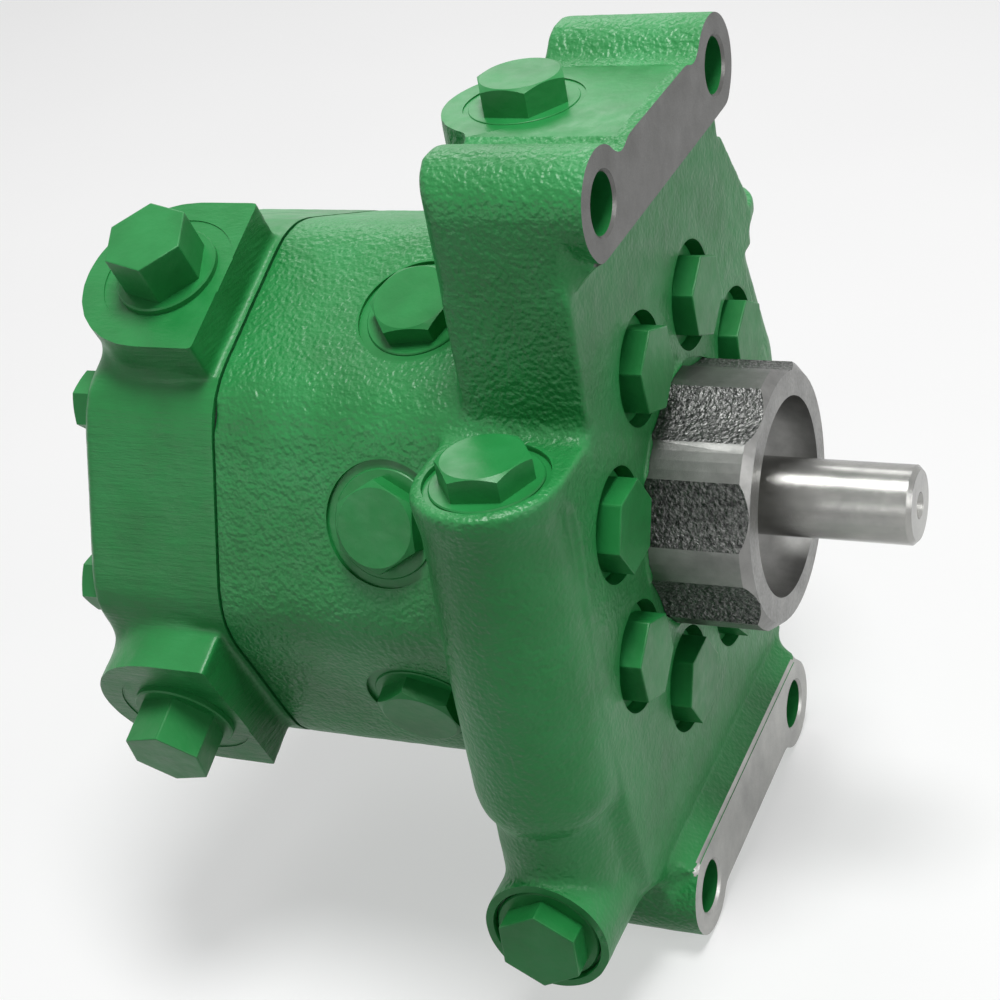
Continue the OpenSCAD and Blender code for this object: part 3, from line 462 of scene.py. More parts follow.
def housing_fillers(bm):
    """Fills the holes of the housing, so that only its cast outside is left, and adds its webs."""
    rod(bm, (JOINT_X - JOINT_ALLOWANCE, 0, 0), (CRANKCASE_FRONT_X, 0, 0), CRANKCASE_FILL_R)
    rod(bm, (FACE_FILL_X, 0, 0), (FACE_X, 0, 0), FACE_FILL_R)
    rod(bm, (FACE_X - MOUTH_FILL_DEPTH, 0, 0), (HUB_FRONT - MOUTH_FILL_INSET, 0, 0), MOUTH_FILL_R)
    for a in PISTON_ANGLES:
        rod(bm, at_angle(PISTON_FILL_FROM, a, PISTON_X), at_angle(FLAT_RADIUS, a, PISTON_X), PISTON_FILL_R)
        rod(bm, at_angle(VALVE_CIRCLE, a, VALVE_FILL_X), at_angle(VALVE_CIRCLE, a, FACE_X), VALVE_FILL_R)
    for y in (-EAR_Y, EAR_Y):
        rod(bm, (UPPER_EAR_X, y, EAR_Z), (ALLOWANCE, y, EAR_Z), BOLT_FILL_R)
        rod(bm, (LOWER_EAR_X, y, -EAR_Z), (ALLOWANCE, y, -EAR_Z), BOLT_FILL_R)
    rod(bm, (PORT_X, 0, PORT_FILL_FROM), (PORT_X, 0, SHELF_Z + ALLOWANCE), PORT_FILL_R)
    rod(bm, (LINK_X, -GALLERY_Y, 0), (LINK_X, GALLERY_Y, 0), LINK_FILL_R)
    for y, low in ((-GALLERY_Y, CROSS_Z), (GALLERY_Y, SHORT_GALLERY_LOW)):
        for depth, radius in (GALLERY_RECESS_FILL, GALLERY_PLUG_FILL):
            rod(bm, (GALLERY_X, y, GALLERY_TOP - depth), (GALLERY_X, y, GALLERY_TOP), radius)
        rod(bm, (GALLERY_X, y, low), (GALLERY_X, y, GALLERY_TOP), GALLERY_FILL_R)
    cross_end = (GALLERY_X, CROSS_Y - ALLOWANCE, CROSS_Z)
    rod(bm, (GALLERY_X, CROSS_FILL_FROM, CROSS_Z), cross_end, CROSS_FILL_R)
    depth, radius = CROSS_RECESS_FILL
    rod(bm, (GALLERY_X, CROSS_Y + depth, CROSS_Z), cross_end, radius)
    housing_webs(bm)


def housing_webs(bm):
    """Adds the webs beside the two gallery columns and the slope at each pad's inner edge."""
    low_front = [(FACE_X, y, z) for y, z in LOW_WEB_FRONT]
    wedge(bm, low_front + [(x, y, z) for x in LOW_WEB_BACK_X for y, z in LOW_WEB_BACK])
    wedge(bm, [(x, y, z) for x in (FACE_X, FACE_X - FAR_WEB_DEPTH) for y, z in FAR_WEB])
    side = EAR_SIDE - PAD_SLOPE_INSET
    for up in (-1, 1):
        wedge(bm, [(x, y, z * up) for y in (-side, side) for x, z in PAD_SLOPE])


def machine_faces(bm):
    """Flat cuts on the shelf and the cross port, and the turned seat round the hub."""
    side = SHELF_R + SHELF_CUT_SIDE
    rear_x, front_x = PORT_X - SHELF_R - SHELF_CUT_REAR, FACE_X + SHELF_CUT_FRONT
    block(bm, (rear_x, -side, SHELF_Z), (front_x, side, SHELF_Z + OVERCUT))
    cross_end = (GALLERY_X, CROSS_Y - OVERCUT, CROSS_Z)
    rod(bm, (GALLERY_X, CROSS_Y, CROSS_Z), cross_end, CROSS_R + CROSS_CUT_MARGIN)
    hub_end = (HUB_FRONT + HUB_CUT_FRONT, 0, 0)
    rod(bm, (FACE_X - HUB_SEAT_DEPTH, 0, 0), hub_end, HUB_R + HUB_SEAT_MARGIN)


def housing_seats():
    return front_seats() + side_seats() + gallery_seats()


def bolt_places():
    """Centres of the mounting holes, as y and z."""
    return [(y, z) for y in (-EAR_Y, EAR_Y) for z in (-EAR_Z, EAR_Z)]


def recesses(bm, seats):
    """Adds the cutters of the round recesses about some plugs."""
    for seat in seats:
        rod(bm, seat.place, seat.place + seat.outward * (seat.depth + RECESS_OVERCUT), seat.recess_r)


def machine_recesses(bm):
    """Round recesses about the plugs, and the mounting holes."""
    recesses(bm, housing_seats())
    rear_x, front_x = BOLT_CUT
    for y, z in bolt_places():
        rod(bm, (rear_x, y, z), (front_x, y, z), BOLT_R)


def bevel_lips(bm):
    """Breaks the lips of the two gallery recesses and the cross recess."""
    for seat in gallery_seats()[1:]:
        top = seat.place + seat.outward * seat.depth
        lip = LIP if seat.outward.z else 2 * LIP
        rod(bm, top - seat.outward * lip, top + seat.outward * lip, seat.recess_r - lip * LIP_INWARD,
            seat.recess_r + lip * LIP_OUTWARD)


def chamfer_holes(bm):
    radius = BOLT_R + HOLE_CHAMFER
    for y, z in bolt_places():
        rod(bm, (-1, y, z), (1, y, z), radius - 1, radius + 1)


def slot_faces(mesh, chooser):
    """Gives each face the material index that chooser returns for face centres and normals in mm."""
    count = len(mesh.polygons)
    centre = np.empty(count * 3)
    normal = np.empty(count * 3)
    mesh.polygons.foreach_get("center", centre)
    mesh.polygons.foreach_get("normal", normal)
    index = chooser(centre.reshape(-1, 3) / MM, normal.reshape(-1, 3))
    mesh.polygons.foreach_set("material_index", index.astype(np.int32))
    mesh.update()


def make_housing(paint, smooth, bare, pad_painted_reflection):
    """Painted casting with smooth seats and bare machined mounting pads, the lower pad in a lighter copy of the
    same iron as painted reflection.
    """
    obj = remeshed("housing_casting", "housing", housing_prepared, housing_fillers)
    mesh = obj.data
    co = points_of(mesh) / MM
    crisp = band(np.abs(co[:, 0] - FACE_X), CRISP_REACH)
    relax(mesh, SKIN_WEIGHT - CRISP_WEIGHT * crisp, rounds(SKIN_ROUNDS))
    ledge = np.hypot(np.abs(co[:, 1]) - EAR_SIDE, co[:, 2] - GALLERY_TOP)
    step = np.hypot(co[:, 0] - FACE_X, np.abs(co[:, 2]) - PAD_INNER)
    relax(mesh, band(ledge, LEDGE_REACH) + band(step, STEP_REACH), rounds(LEDGE_ROUNDS))
    orange_peel(mesh, PEEL_WEIGHT + band(ledge, STEP_REACH), PEEL_HEIGHT)
    slice_at(obj, (JOINT_X, 0, 0), (-1, 0, 0))
    cut(obj, machine_faces)
    cut(obj, machine_recesses)
    cut(obj, bevel_lips)
    slice_at(obj, (0, 0, 0), (1, 0, 0))
    cut(obj, chamfer_holes)
    obj.data.materials.clear()
    for material in (paint, smooth, bare, pad_painted_reflection):
        obj.data.materials.append(material)

    def chooser(centre, normal):
        x, y, z = centre.T
        level = (np.abs(z - SHELF_Z) < 2 * ON_FACE) & (normal[:, 2] > LEVEL_NORMAL)
        for seat in housing_seats():
            near, run = axis_distance(centre, seat.place, seat.outward)
            level |= (near < seat.recess_r + LIP) & (run > -SLACK) & (run < seat.depth + SLACK)
        level |= np.hypot(np.abs(y) - EAR_Y, np.abs(z) - EAR_Z) < BOLT_R + 2 * SLACK
        pad = (x > -2 * ON_FACE) & (np.abs(z) > EARS_FROM)
        rim = (x > -RIM_DEPTH) & (np.abs(z) > EARS_FROM) & (normal[:, 0] > RIM_NORMAL)
        return np.where(pad | rim, np.where(z > 0, UPPER_PAD, LOWER_PAD), np.where(level, SMOOTH, CAST))

    slot_faces(obj.data, chooser)
    smooth_by_angle(obj.data, CAST_ANGLE)
    return obj


def make_hub(bare, rough):
    """Bare hub: machined lobes, front and mouth, with rough cast scallops between."""
    mesh = nodes["housing"].data.copy()
    mesh.materials.clear()
    bm = bmesh.new()
    bm.from_mesh(mesh)
    bmesh.ops.remove_doubles(bm, verts=bm.verts[:], dist=1e-6)
    geometry = bm.verts[:] + bm.edges[:] + bm.faces[:]
    root = ((FACE_X + ON_FACE) * MM, 0, 0)
    bmesh.ops.bisect_plane(bm, geom=geometry, plane_co=root, plane_no=(-1, 0, 0), clear_outer=True, dist=1e-8)
    far = [v for v in bm.verts if math.hypot(v.co.y, v.co.z) > (HUB_R + 1) * MM]
    bmesh.ops.delete(bm, geom=far, context="VERTS")
    rim = [e for e in bm.edges if len(e.link_faces) == 1]
    bmesh.ops.triangle_fill(bm, edges=rim, normal=(-1, 0, 0), use_beauty=True)
    bm.to_mesh(mesh)
    bm.free()
    obj = link("hub", mesh)
    mesh.materials.append(bare)
    mesh.materials.append(rough)

    def chooser(centre, _):
        radius = np.hypot(centre[:, 1], centre[:, 2])
        scallop = np.zeros(len(centre), bool)
        for a in PISTON_ANGLES:
            near, _ = axis_distance(centre, at_angle(SCALLOP_CENTRE, a, 0), (1, 0, 0))
            scallop |= (np.abs(near - SCALLOP_R) < SCALLOP_SLACK) & (radius > SCALLOP_INNER_R)
        return np.where(scallop, ROUGH, TURNED)

    slot_faces(mesh, chooser)
    smooth_by_angle(mesh, TURNED_ANGLE)
    return obj


def cover_prepared(co):
    """Builds the machined faces of the cover up by the allowance."""
    co = co.copy()
    front = np.abs(co[:, 0] - COVER_FRONT_X) < ON_FACE
    co[front, 0] += JOINT_ALLOWANCE
    for a in CONTROL_ANGLES:
        out = np.array(at_angle(1, a, 0))
        top = np.abs(co @ out - BOSS_HEIGHT) < ON_FACE
        co[top] += out * ALLOWANCE
    return co


def cover_fillers(bm):
    """Fills the holes of the cover, so that only its cast outside is left."""
    rod(bm, (COVER_REAR_X + COVER_FLOOR, 0, 0), (COVER_FRONT_X + JOINT_ALLOWANCE, 0, 0), CRANKCASE_FILL_R)
    rod(bm, (COVER_FRONT_X, 0, 0), (SPIGOT_FRONT_X, 0, 0), SPIGOT_FILL_R)
    for a in CONTROL_ANGLES:
        top = at_angle(BOSS_HEIGHT + ALLOWANCE, a, BOSS_X)
        rod(bm, at_angle(BOSS_FILL_FROM, a, BOSS_X), top, BOSS_FILL_R)
    for i in range(8):
        screw = 45 * i
        rod(bm, at_angle(SCREW_CIRCLE, screw, COVER_REAR_X), at_angle(SCREW_CIRCLE, screw, COVER_FRONT_X),
            SCREW_FILL_R)


def machine_boss_faces(bm):
    for a in CONTROL_ANGLES:
        rod(bm, at_angle(BOSS_HEIGHT, a, BOSS_X), at_angle(BOSS_HEIGHT + OVERCUT, a, BOSS_X), BOSS_CUT_R)


def machine_boss_recesses(bm):
    recesses(bm, cover_seats())


def make_cover(paint):
    """Painted rear cover with two flat valve bosses, whose roots run smoothly into it."""
    obj = remeshed("cover_casting", "rear_cover", cover_prepared, cover_fillers)
    mesh = obj.data
    co = points_of(mesh) / MM
    relax(mesh, np.full(len(co), COVER_WEIGHT), rounds(COVER_ROUNDS))
    for a in CONTROL_ANGLES:
        out = np.array(at_angle(1, a, 0))
        from_axis, _ = axis_distance(co, at_angle(0, a, BOSS_X), out)
        root = band(np.abs(co @ out - FLAT_RADIUS - ROOT_OFFSET), ROOT_HEIGHT_REACH)
        root *= band(np.abs(from_axis - BOSS_HALF_WIDTH - ROOT_OFFSET), ROOT_WIDTH_REACH)
        root *= band(co[:, 0] - BOSS_X - ROOT_FRONT, ROOT_FRONT_REACH)
        relax(mesh, root, rounds(ROOT_ROUNDS))
    orange_peel(mesh, np.ones(len(co)), COVER_PEEL_HEIGHT)
    slice_at(obj, (COVER_FRONT_X, 0, 0), (1, 0, 0))
    cut(obj, machine_boss_faces)
    cut(obj, machine_boss_recesses)
    obj.data.materials.clear()
    obj.data.materials.append(paint)
    smooth_by_angle(obj.data, CAST_ANGLE)
    return obj


def make_gasket(material):
    """The gasket, trimmed back from the soft edges of its joint."""
    mesh = nodes["cover_gasket"].data.copy()
    co = points_of(mesh)
    outer = np.hypot(co[:, 1], co[:, 2]) > GASKET_OUTER_R * MM
    co[outer, 1:] *= 1 - GASKET_TRIM / FLAT_RADIUS
    set_points(mesh, co)
    mesh.materials.clear()
    mesh.materials.append(material)
    return link("gasket_trimmed", mesh)


def make_springs(material):
    """One spring for each valve, cut from the CAD springs about its valve and fixed to the root."""
    behaviour = frame["record"]["behaviour"]
    for joint in frame["joints"]:
        name = joint["name"]
        if name.endswith("_lift"):
            node = name.split("_")[0] + "_valve_springs"
        elif name.endswith("_slide"):
            node = name.replace("slide", "spring")
        else:
            continue
        low, high = joint["range_m"]
        way = Vector(joint["axis"]).normalized() * (1 if high > -low else -1)
        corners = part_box(behaviour["bodies"][joint["child"]][0])
        centre = (Vector(corners[0]) + Vector(corners[1])) / 2
        mesh = nodes[node].data.copy()
        bm = bmesh.new()
        bm.from_mesh(mesh)
        others = [v for v in bm.verts if (v.co - centre).cross(way).length > SPRING_REACH * MM]
        bmesh.ops.delete(bm, geom=others, context="VERTS")
        bm.to_mesh(mesh)
        bm.free()
        mesh.materials.clear()
        mesh.materials.append(material)
        spring = link(name.rsplit("_", 1)[0] + "_spring_coil", mesh)
        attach(spring, "root")
        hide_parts(node)
        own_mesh(spring)


def seen_directly(tree):
    """Adds nodes that give 1 for camera, glossy and transmission rays."""
    path = tree.nodes.new("ShaderNodeLightPath")
    value = path.outputs["Is Camera Ray"]
    for name in ("Is Glossy Ray", "Is Transmission Ray"):
        larger = tree.nodes.new("ShaderNodeMath")
        larger.operation = "MAXIMUM"
        tree.links.new(value, larger.inputs[0])
        tree.links.new(path.outputs[name], larger.inputs[1])
        value = larger.outputs[0]
    return value


class Seat(NamedTuple):
    """Where one plug sits: recess floor, direction, turn of the hexagon, and its sizes in millimetres."""
    place: Vector
    outward: Vector
    turn: float
    recess_r: float
    depth: float
    flange: float
    height: float
    rounded: bool


def front_seats():
    """Seats of the eight outlet valve plugs round the hub."""
    depth = FACE_X - VALVE_SEAT_X
    return [Seat(at_angle(VALVE_CIRCLE, a, VALVE_SEAT_X), Vector((1, 0, 0)), turn, VALVE_RECESS_R,
                 depth, flange=2.2, height=11, rounded=False)
            for a, turn in zip(PISTON_ANGLES, VALVE_TURNS)]


def side_seats():
    """Seats of the eight piston plugs on the flats."""
    return [Seat(at_angle(FLAT_RADIUS - PISTON_RECESS, a, PISTON_X), at_angle(1, a, 0), turn, PISTON_RECESS_R,
                 PISTON_RECESS, flange=0.6, height=6.5, rounded=True)
            for a, turn in zip(PISTON_ANGLES, PISTON_TURNS)]


def gallery_seats():
    """Seats of the shelf plug, the two gallery plugs and the cross port plug."""
    up, left = Vector((0, 0, 1)), Vector((0, -1, 0))
    seats = [Seat(Vector((PORT_X, 0, SHELF_Z - SHELF_RECESS)), up, SHELF_TURN, GALLERY_RECESS_R, SHELF_RECESS,
                  flange=0.3, height=8.1, rounded=True)]
    for y, turn in zip((-GALLERY_Y, GALLERY_Y), GALLERY_TURNS):
        seats.append(Seat(Vector((GALLERY_X, y, GALLERY_TOP - GALLERY_RECESS)), up, turn, GALLERY_RECESS_R,
                          GALLERY_RECESS, flange=0.7, height=7.6, rounded=True))
    seats.append(Seat(Vector((GALLERY_X, CROSS_Y + CROSS_RECESS, CROSS_Z)), left, CROSS_TURN, CROSS_RECESS_R,
                      CROSS_RECESS, flange=2.2, height=9.2, rounded=False))
    return seats


def cover_seats():
    """Seats of the two plugs on the cover's bosses."""
    return [Seat(at_angle(BOSS_HEIGHT - COVER_RECESS, a, BOSS_X), at_angle(1, a, 0), turn, COVER_SPOT_R,
                 COVER_RECESS, flange=2, height=15.5, rounded=False)
            for a, turn in zip(CONTROL_ANGLES, COVER_TURNS)]


def hexagon(bm, seat, level):
    """Adds the hexagon of a plug, with a turned chamfer if rounded, else with a small even bevel."""
    side = seat.outward.cross(level)
    flat = PLUG_AF / 2
    foot = seat.flange - PLUG_SINK

    def ring(steps, reach, rise):
        """Ring of vertices; reach and rise turn the hexagon's extent at a step into radius and height."""
        made = []
        for k in range(steps):
            step = 360 / steps * k
            extent = flat / math.cos(math.radians(step % 60 - 30))
            a = math.radians(seat.turn + step)
            across = (level * math.cos(a) + side * math.sin(a)) * reach(extent)
            made.append(bm.verts.new((seat.place + across + seat.outward * rise(extent)) * MM))
        return made

    def full(extent):
        return extent

    def chamfered(extent):
        return seat.height - (extent - flat + CHAMFER_WIDTH) * CHAMFER_SLOPE

    if seat.rounded:
        rings = [ring(CHAMFER_STEPS, full, lambda _: foot),
                 ring(CHAMFER_STEPS, full, chamfered),
                 ring(CHAMFER_STEPS, lambda _: flat - CHAMFER_WIDTH, lambda _: seat.height)]
    else:
        rings = [ring(6, full, lambda _: foot), ring(6, full, lambda _: seat.height)]
    faces = [bm.faces.new(rings[0][::-1]), bm.faces.new(rings[-1])]
    for lower, upper in zip(rings, rings[1:]):
        count = len(lower)
        faces += [bm.faces.new((lower[k], lower[(k + 1) % count], upper[(k + 1) % count], upper[k]))
                  for k in range(count)]
    if not seat.rounded:
        edges = {e for face in faces[1:] for e in face.edges} - set(faces[0].edges)
        bmesh.ops.bevel(bm, geom=list(edges), offset=PLUG_EDGE * MM, segments=2, affect="EDGES", profile=0.6)


def plug_group(node, paint, seats):
    """One object with all the plugs of a node, in place of its plain CAD shape."""
    bm = bmesh.new()
    for seat in seats:
        foot = seat.place + seat.outward * seat.flange
        bevel = seat.outward * min(PLUG_EDGE, seat.flange / 2)
        thread = seat.place - seat.outward * THREAD_LENGTH
        rod(bm, thread, seat.place + seat.outward * PLUG_SINK, THREAD_R, segments=48)
        rod(bm, seat.place, foot - bevel, FLANGE_R, segments=72)
        rod(bm, foot - bevel, foot, FLANGE_R, FLANGE_R - bevel.length, segments=72)
        front = seat.outward.x > 0.5
        hexagon(bm, seat, (seat.place * Vector((0, 1, 1))).normalized() if front else Vector((1, 0, 0)))
    mesh = bpy.data.meshes.new(node)
    bm.to_mesh(mesh)
    bm.free()
    obj = link(node + "_painted", mesh)
    mesh.materials.append(paint)
    smooth_by_angle(mesh, TURNED_ANGLE)
    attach(obj, "root")
    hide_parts(node)


def make_plugs(paint):
    plug_group("outlet_valve_plugs", paint, front_seats())
    plug_group("piston_plugs", paint, side_seats())
    plug_group("port_plugs", paint, gallery_seats())
    stroke, crankcase = cover_seats()
    plug_group("stroke_control_plug", paint, [stroke])
    plug_group("crankcase_outlet_plug", paint, [crankcase])


# Sockets of the colour mix node
MIX_FACTOR, MIX_FIRST, MIX_SECOND = 0, 6, 7
MIX_RESULT = 2


class Shader:
    """A material's node tree with short calls for the nodes used here."""

    def __init__(self, name):
        self.material = bpy.data.materials.new(name)
        self.material.use_nodes = True
        self.tree = self.material.node_tree
        self.bsdf = self.tree.nodes["Principled BSDF"]
        self.place = self.add("ShaderNodeTexCoord").outputs["Object"]

    def add(self, kind, **values):
        node = self.tree.nodes.new(kind)
        for key, value in values.items():
            setattr(node, key, value)
        return node

    def wire(self, source, target):
        self.tree.links.new(source, target)

    def noise(self, scale, detail=3.0, roughness=0.5, stretch=None):
        node = self.add("ShaderNodeTexNoise")
        node.inputs["Scale"].default_value = scale
        node.inputs["Detail"].default_value = detail
        node.inputs["Roughness"].default_value = roughness
        source = self.place
        if stretch:
            mapping = self.add("ShaderNodeMapping")
            mapping.inputs["Scale"].default_value = stretch
            self.wire(source, mapping.inputs["Vector"])
            source = mapping.outputs["Vector"]
        self.wire(source, node.inputs["Vector"])
        return node.outputs["Fac"]

    def ramp(self, value, stops):
        """Colour ramp; a stop is (position, colour) or (position, grey)."""
        node = self.add("ShaderNodeValToRGB")
        ramp = node.color_ramp
        while len(ramp.elements) < len(stops):
            ramp.elements.new(0.5)
        for element, (position, colour) in zip(ramp.elements, stops):
            element.position = position
            rgb = colour if isinstance(colour, tuple) else (colour,) * 3
            element.color = (*rgb, 1)
        self.wire(value, node.inputs["Fac"])
        return node.outputs["Color"]

    def spread(self, value, low, high):
        """Goes from low to high over the range that a noise mostly fills."""
        return self.ramp(value, [(0.3, low), (0.7, high)])

    def mix(self, factor, first, second):
        """Colour mix by a socket; first and second are colours or sockets."""
        node = self.add("ShaderNodeMix", data_type="RGBA")
        self.wire(factor, node.inputs[MIX_FACTOR])
        for index, value in ((MIX_FIRST, first), (MIX_SECOND, second)):
            if isinstance(value, bpy.types.NodeSocket):
                self.wire(value, node.inputs[index])
            else:
                node.inputs[index].default_value = (*value, 1)
        return node.outputs[MIX_RESULT]

    def facing(self, axis, across, along):
        """Value for faces whose normals lie across an axis, blending to another for those along it."""
        split = self.add("ShaderNodeSeparateXYZ")
        place = self.add("ShaderNodeTexCoord")
        self.wire(place.outputs["Normal"], split.inputs[0])
        size = self.add("ShaderNodeMath", operation="ABSOLUTE")
        self.wire(split.outputs[axis], size.inputs[0])
        blend = self.add("ShaderNodeMapRange")
        blend.inputs["To Min"].default_value = across
        blend.inputs["To Max"].default_value = along
        self.wire(size.outputs[0], blend.inputs["Value"])
        return blend.outputs["Result"]

    def scaled(self, value, factor):
        node = self.add("ShaderNodeMath", operation="MULTIPLY")
        self.wire(value, node.inputs[0])
        node.inputs[1].default_value = factor
        return node.outputs[0]

    def bump(self, height, distance, strength=1.0, under=None):
        node = self.add("ShaderNodeBump")
        node.inputs["Distance"].default_value = distance
        if isinstance(strength, bpy.types.NodeSocket):
            self.wire(strength, node.inputs["Strength"])
        else:
            node.inputs["Strength"].default_value = strength
        self.wire(height, node.inputs["Height"])
        if under:
            self.wire(under, node.inputs["Normal"])
        return node.outputs["Normal"]

    def seen(self):
        """1 for rays from the camera, a reflection or a transparent piece, and 0 for lighting."""
        return seen_directly(self.tree)

    def finish(self, colour, roughness, normal=None, metallic=0.0):
        self.wire(colour, self.bsdf.inputs["Base Color"])
        self.wire(roughness, self.bsdf.inputs["Roughness"])
        if normal:
            self.wire(normal, self.bsdf.inputs["Normal"])
        self.bsdf.inputs["Metallic"].default_value = metallic
        return self.material


GREEN_DARK = (0.012, 0.185, 0.040)
GREEN = (0.018, 0.235, 0.055)
GREEN_PALE = (0.028, 0.275, 0.075)
TOOL_MARK = 0.00006


def cast_paint():
    """Glossy green paint over rough cast iron, smoother on the faces that look along the shaft."""
    s = Shader("cast_paint")
    patch = s.ramp(s.noise(35, detail=4), [(0.3, GREEN_DARK), (0.5, GREEN), (0.72, GREEN_PALE)])
    level = s.facing(axis=0, across=1.0, along=0.4)
    coarse = s.bump(s.noise(330, detail=1), 0.0008, s.scaled(level, 0.4))
    fine = s.bump(s.noise(760, detail=0.8, roughness=0.45), 0.0007, s.scaled(level, 0.75), under=coarse)
    rough = s.spread(s.noise(180), 0.36, 0.46)
    s.bsdf.inputs["Specular IOR Level"].default_value = 0.42
    return s.finish(patch, rough, fine)


def smooth_paint():
    """The same paint over machined faces and plugs, with fine turning marks showing through."""
    s = Shader("smooth_paint")
    patch = s.ramp(s.noise(60, detail=4), [(0.3, GREEN_DARK), (0.55, GREEN), (0.8, GREEN_PALE)])
    rough = s.spread(s.noise(220), 0.34, 0.44)
    s.bsdf.inputs["Specular IOR Level"].default_value = 0.3
    return s.finish(patch, rough, s.bump(s.noise(320, detail=2), 0.00025, 0.5))


def cover_paint():
    """Paint over a cover that was ground in level strokes."""
    s = Shader("cover_paint")
    patch = s.ramp(s.noise(40, detail=4), [(0.3, GREEN_DARK), (0.55, GREEN), (0.8, GREEN_PALE)])
    strokes = s.noise(90, detail=5, roughness=0.65, stretch=(1, 1, 9))
    grain = s.noise(500, detail=2)
    rough = s.spread(s.noise(160), 0.30, 0.44)
    s.bsdf.inputs["Specular IOR Level"].default_value = 0.35
    return s.finish(patch, rough, s.bump(grain, 0.0002, 0.5, under=s.bump(strokes, 0.0005, 0.5)))


def bare_metal(name, dark, light, rough, stretch):
    """Machined bare metal; its tool marks run across the axis with the largest stretch."""
    s = Shader(name)
    tint = s.spread(s.noise(90, detail=5, roughness=0.6), dark, light)
    marks = s.noise(900, roughness=0.6, stretch=stretch)
    return s.finish(tint, s.spread(marks, *rough), s.bump(marks, TOOL_MARK, 0.5), metallic=1.0)


def rough_iron():
    """Bare cast iron skin of the hub's scallops."""
    s = Shader("rough_iron")
    tint = s.ramp(s.noise(900, roughness=0.6), [(0.36, (0.045, 0.045, 0.045)), (0.66, (0.19, 0.19, 0.185))])
    rough = s.spread(s.noise(500), 0.36, 0.55)
    coarse = s.bump(s.noise(850, detail=2, roughness=0.55), 0.0010, 0.65)
    return s.finish(tint, rough, coarse, metallic=0.9)


def plain(name, colour, rough, metallic=0.0):
    """Simple procedural finish for small and inner pieces."""
    s = Shader(name)
    shade = tuple(c * 0.7 for c in colour)
    tint = s.spread(s.noise(300), shade, colour)
    roughness = s.spread(s.noise(600, detail=2), rough * 0.85, rough)
    return s.finish(tint, roughness, s.bump(s.noise(900, detail=2), 0.00005, 0.5), metallic)


def dress(node, material):
    obj = nodes[node]
    obj.data.materials.clear()
    obj.data.materials.append(material)


# Greys and strengths of floor and world, for the light on the pump and for rays that see them directly
WHITE = (1, 1, 1, 1)
FLOOR_LIT = (0.22, 0.22, 0.22)
FLOOR_SEEN = ((0.44, 0.44, 0.44), (0.46, 0.46, 0.46))
FLOOR_GLOW = 0.5
WORLD_LIT = 0.14
WORLD_SEEN = 1.0


class Lamp(NamedTuple):
    """A round soft lamp aimed at the pump: metres and watts."""
    name: str
    place: tuple
    size: float
    watts: float


LAMPS = (
    Lamp("key", place=(0.10, -0.08, 1.30), size=0.5, watts=15.5),
    Lamp("front", place=(1.2, -0.25, 0.40), size=0.6, watts=3.8),
    Lamp("left", place=(-0.55, -1.05, 0.30), size=0.35, watts=1.0),
    Lamp("rim", place=(-0.6, 1.0, 0.9), size=0.5, watts=3.0),
)
LAMP_TARGET = Vector((-0.05, 0, 0))


def studio():
    """Pale floor, soft lamps and a white world."""
    scene = bpy.context.scene
    low = cad_bounds[0][2]
    bpy.ops.mesh.primitive_plane_add(size=6, location=(0, 0, low - 0.0005))
    floor = bpy.context.object
    floor.name = "floor"
    s = Shader("floor")
    tint = s.spread(s.noise(4, detail=2), *FLOOR_SEEN)
    s.wire(s.mix(s.seen(), FLOOR_LIT, tint), s.bsdf.inputs["Base Color"])
    s.bsdf.inputs["Emission Color"].default_value = WHITE
    s.wire(s.scaled(s.seen(), FLOOR_GLOW), s.bsdf.inputs["Emission Strength"])
    s.bsdf.inputs["Roughness"].default_value = 0.8
    s.bsdf.inputs["Specular IOR Level"].default_value = 0.1
    floor.data.materials.append(s.material)

    world = bpy.data.worlds.new("studio")
    scene.world = world
    world.use_nodes = True
    tree = world.node_tree
    back = tree.nodes["Background"]
    strength = tree.nodes.new("ShaderNodeMapRange")
    strength.inputs["To Min"].default_value = WORLD_LIT
    strength.inputs["To Max"].default_value = WORLD_SEEN
    tree.links.new(seen_directly(tree), strength.inputs["Value"])
    tree.links.new(strength.outputs["Result"], back.inputs["Strength"])
    back.inputs["Color"].default_value = WHITE

    for lamp in LAMPS:
        data = bpy.data.lights.new(lamp.name, "AREA")
        data.shape = "DISK"
        data.size = lamp.size
        data.energy = lamp.watts
        obj = bpy.data.objects.new(lamp.name, data)
        obj.location = lamp.place
        obj.rotation_euler = (LAMP_TARGET - Vector(lamp.place)).to_track_quat("-Z", "Y").to_euler()
        scene.collection.objects.link(obj)
    scene.view_settings.view_transform = "Standard"


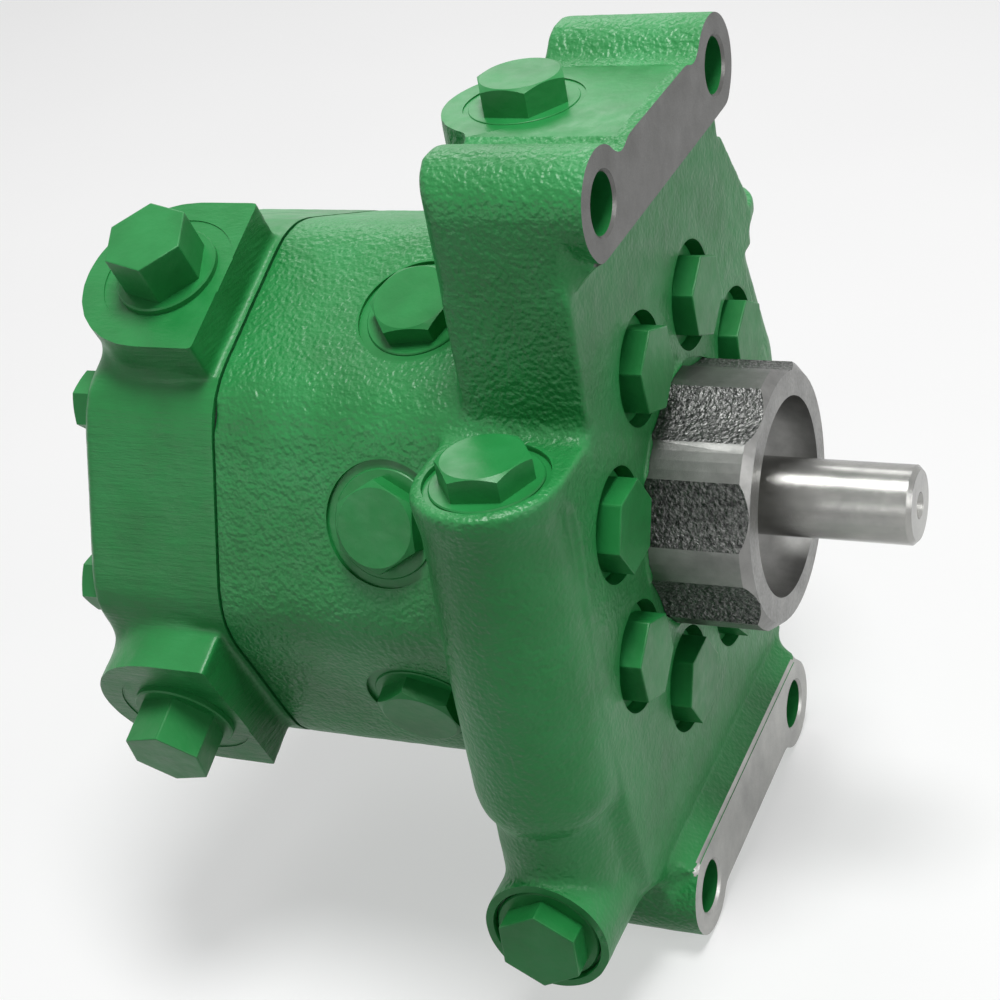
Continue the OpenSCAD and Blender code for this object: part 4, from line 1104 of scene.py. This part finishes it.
def camera():
    """The camera at the photograph's angle, distance and lens."""
    a, e, r = (math.radians(v) for v in (AZIMUTH, ELEVATION, ROLL))
    back = Vector((math.sin(a) * math.cos(e), -math.cos(a) * math.cos(e), math.sin(e)))
    level = Vector((math.cos(a), math.sin(a), 0))
    upright = back.cross(level)
    right = math.cos(r) * level + math.sin(r) * upright
    up = -math.sin(r) * level + math.cos(r) * upright
    data = bpy.data.cameras.new("camera")
    data.lens = LENS_MM
    data.sensor_width = SENSOR_MM
    data.clip_start = 0.01
    obj = bpy.data.objects.new("camera", data)
    bpy.context.scene.collection.objects.link(obj)
    place = Matrix((right, up, back)).transposed().to_4x4()
    place.translation = back * DISTANCE - right * ORIGIN_RIGHT + up * ORIGIN_DOWN
    obj.matrix_world = place
    bpy.context.scene.camera = obj


def dress_nodes(paint, steel):
    """Finishes of the pieces that keep their CAD shape."""
    bearing = plain("bearing_steel", (0.55, 0.55, 0.56), 0.3, 1.0)
    spring = plain("spring_steel", (0.25, 0.26, 0.28), 0.4, 1.0)
    rubber = plain("seal_rubber", (0.02, 0.02, 0.02), 0.6)
    bronze = plain("bronze", (0.55, 0.36, 0.16), 0.35, 1.0)
    fibre = plain("gasket_fibre", (0.004, 0.012, 0.006), 0.7)
    by_slot = {"paint": paint, "shaft_steel": steel, "bearing_steel": bearing, "valve_steel": bearing,
               "spring_steel": spring, "seal_rubber": rubber, "bronze": bronze, "gasket": fibre}
    for part in frame["record"]["subparts"]:
        dress(part["node"], by_slot[part["material_slot"]])
    return fibre, spring


def main():
    camera()
    studio()
    steel = bare_metal("shaft_ground", dark=(0.28, 0.28, 0.27), light=(0.38, 0.38, 0.36),
                       rough=(0.14, 0.26), stretch=(60, 1, 1))
    pad_iron = bare_metal("milled_iron", dark=(0.10, 0.10, 0.095), light=(0.16, 0.16, 0.155),
                          rough=(0.30, 0.45), stretch=(1, 1, 6))
    # Lighter copy of the milled iron for the lower pad: its paler grey is painted reflection of the pale floor,
    # not another metal
    lower_pad_painted_reflection = bare_metal("lower_pad_painted_reflection", dark=(0.30, 0.30, 0.29), light=(0.42, 0.42, 0.40),
                             rough=(0.30, 0.45), stretch=(1, 1, 6))
    hub_iron = bare_metal("turned_iron", dark=(0.17, 0.17, 0.165), light=(0.28, 0.28, 0.27),
                          rough=(0.28, 0.45), stretch=(30, 1, 1))
    painted = smooth_paint()
    fibre, spring = dress_nodes(painted, steel)
    housing = make_housing(cast_paint(), painted, pad_iron, lower_pad_painted_reflection)
    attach(housing, "root")
    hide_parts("housing")
    hub = make_hub(hub_iron, rough_iron())
    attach(hub, "root")
    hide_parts("housing")
    make_plugs(painted)
    gasket = make_gasket(fibre)
    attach(gasket, "root")
    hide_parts("cover_gasket")
    make_springs(spring)
    cover = make_cover(cover_paint())
    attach(cover, "root")
    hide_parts("rear_cover")


main()
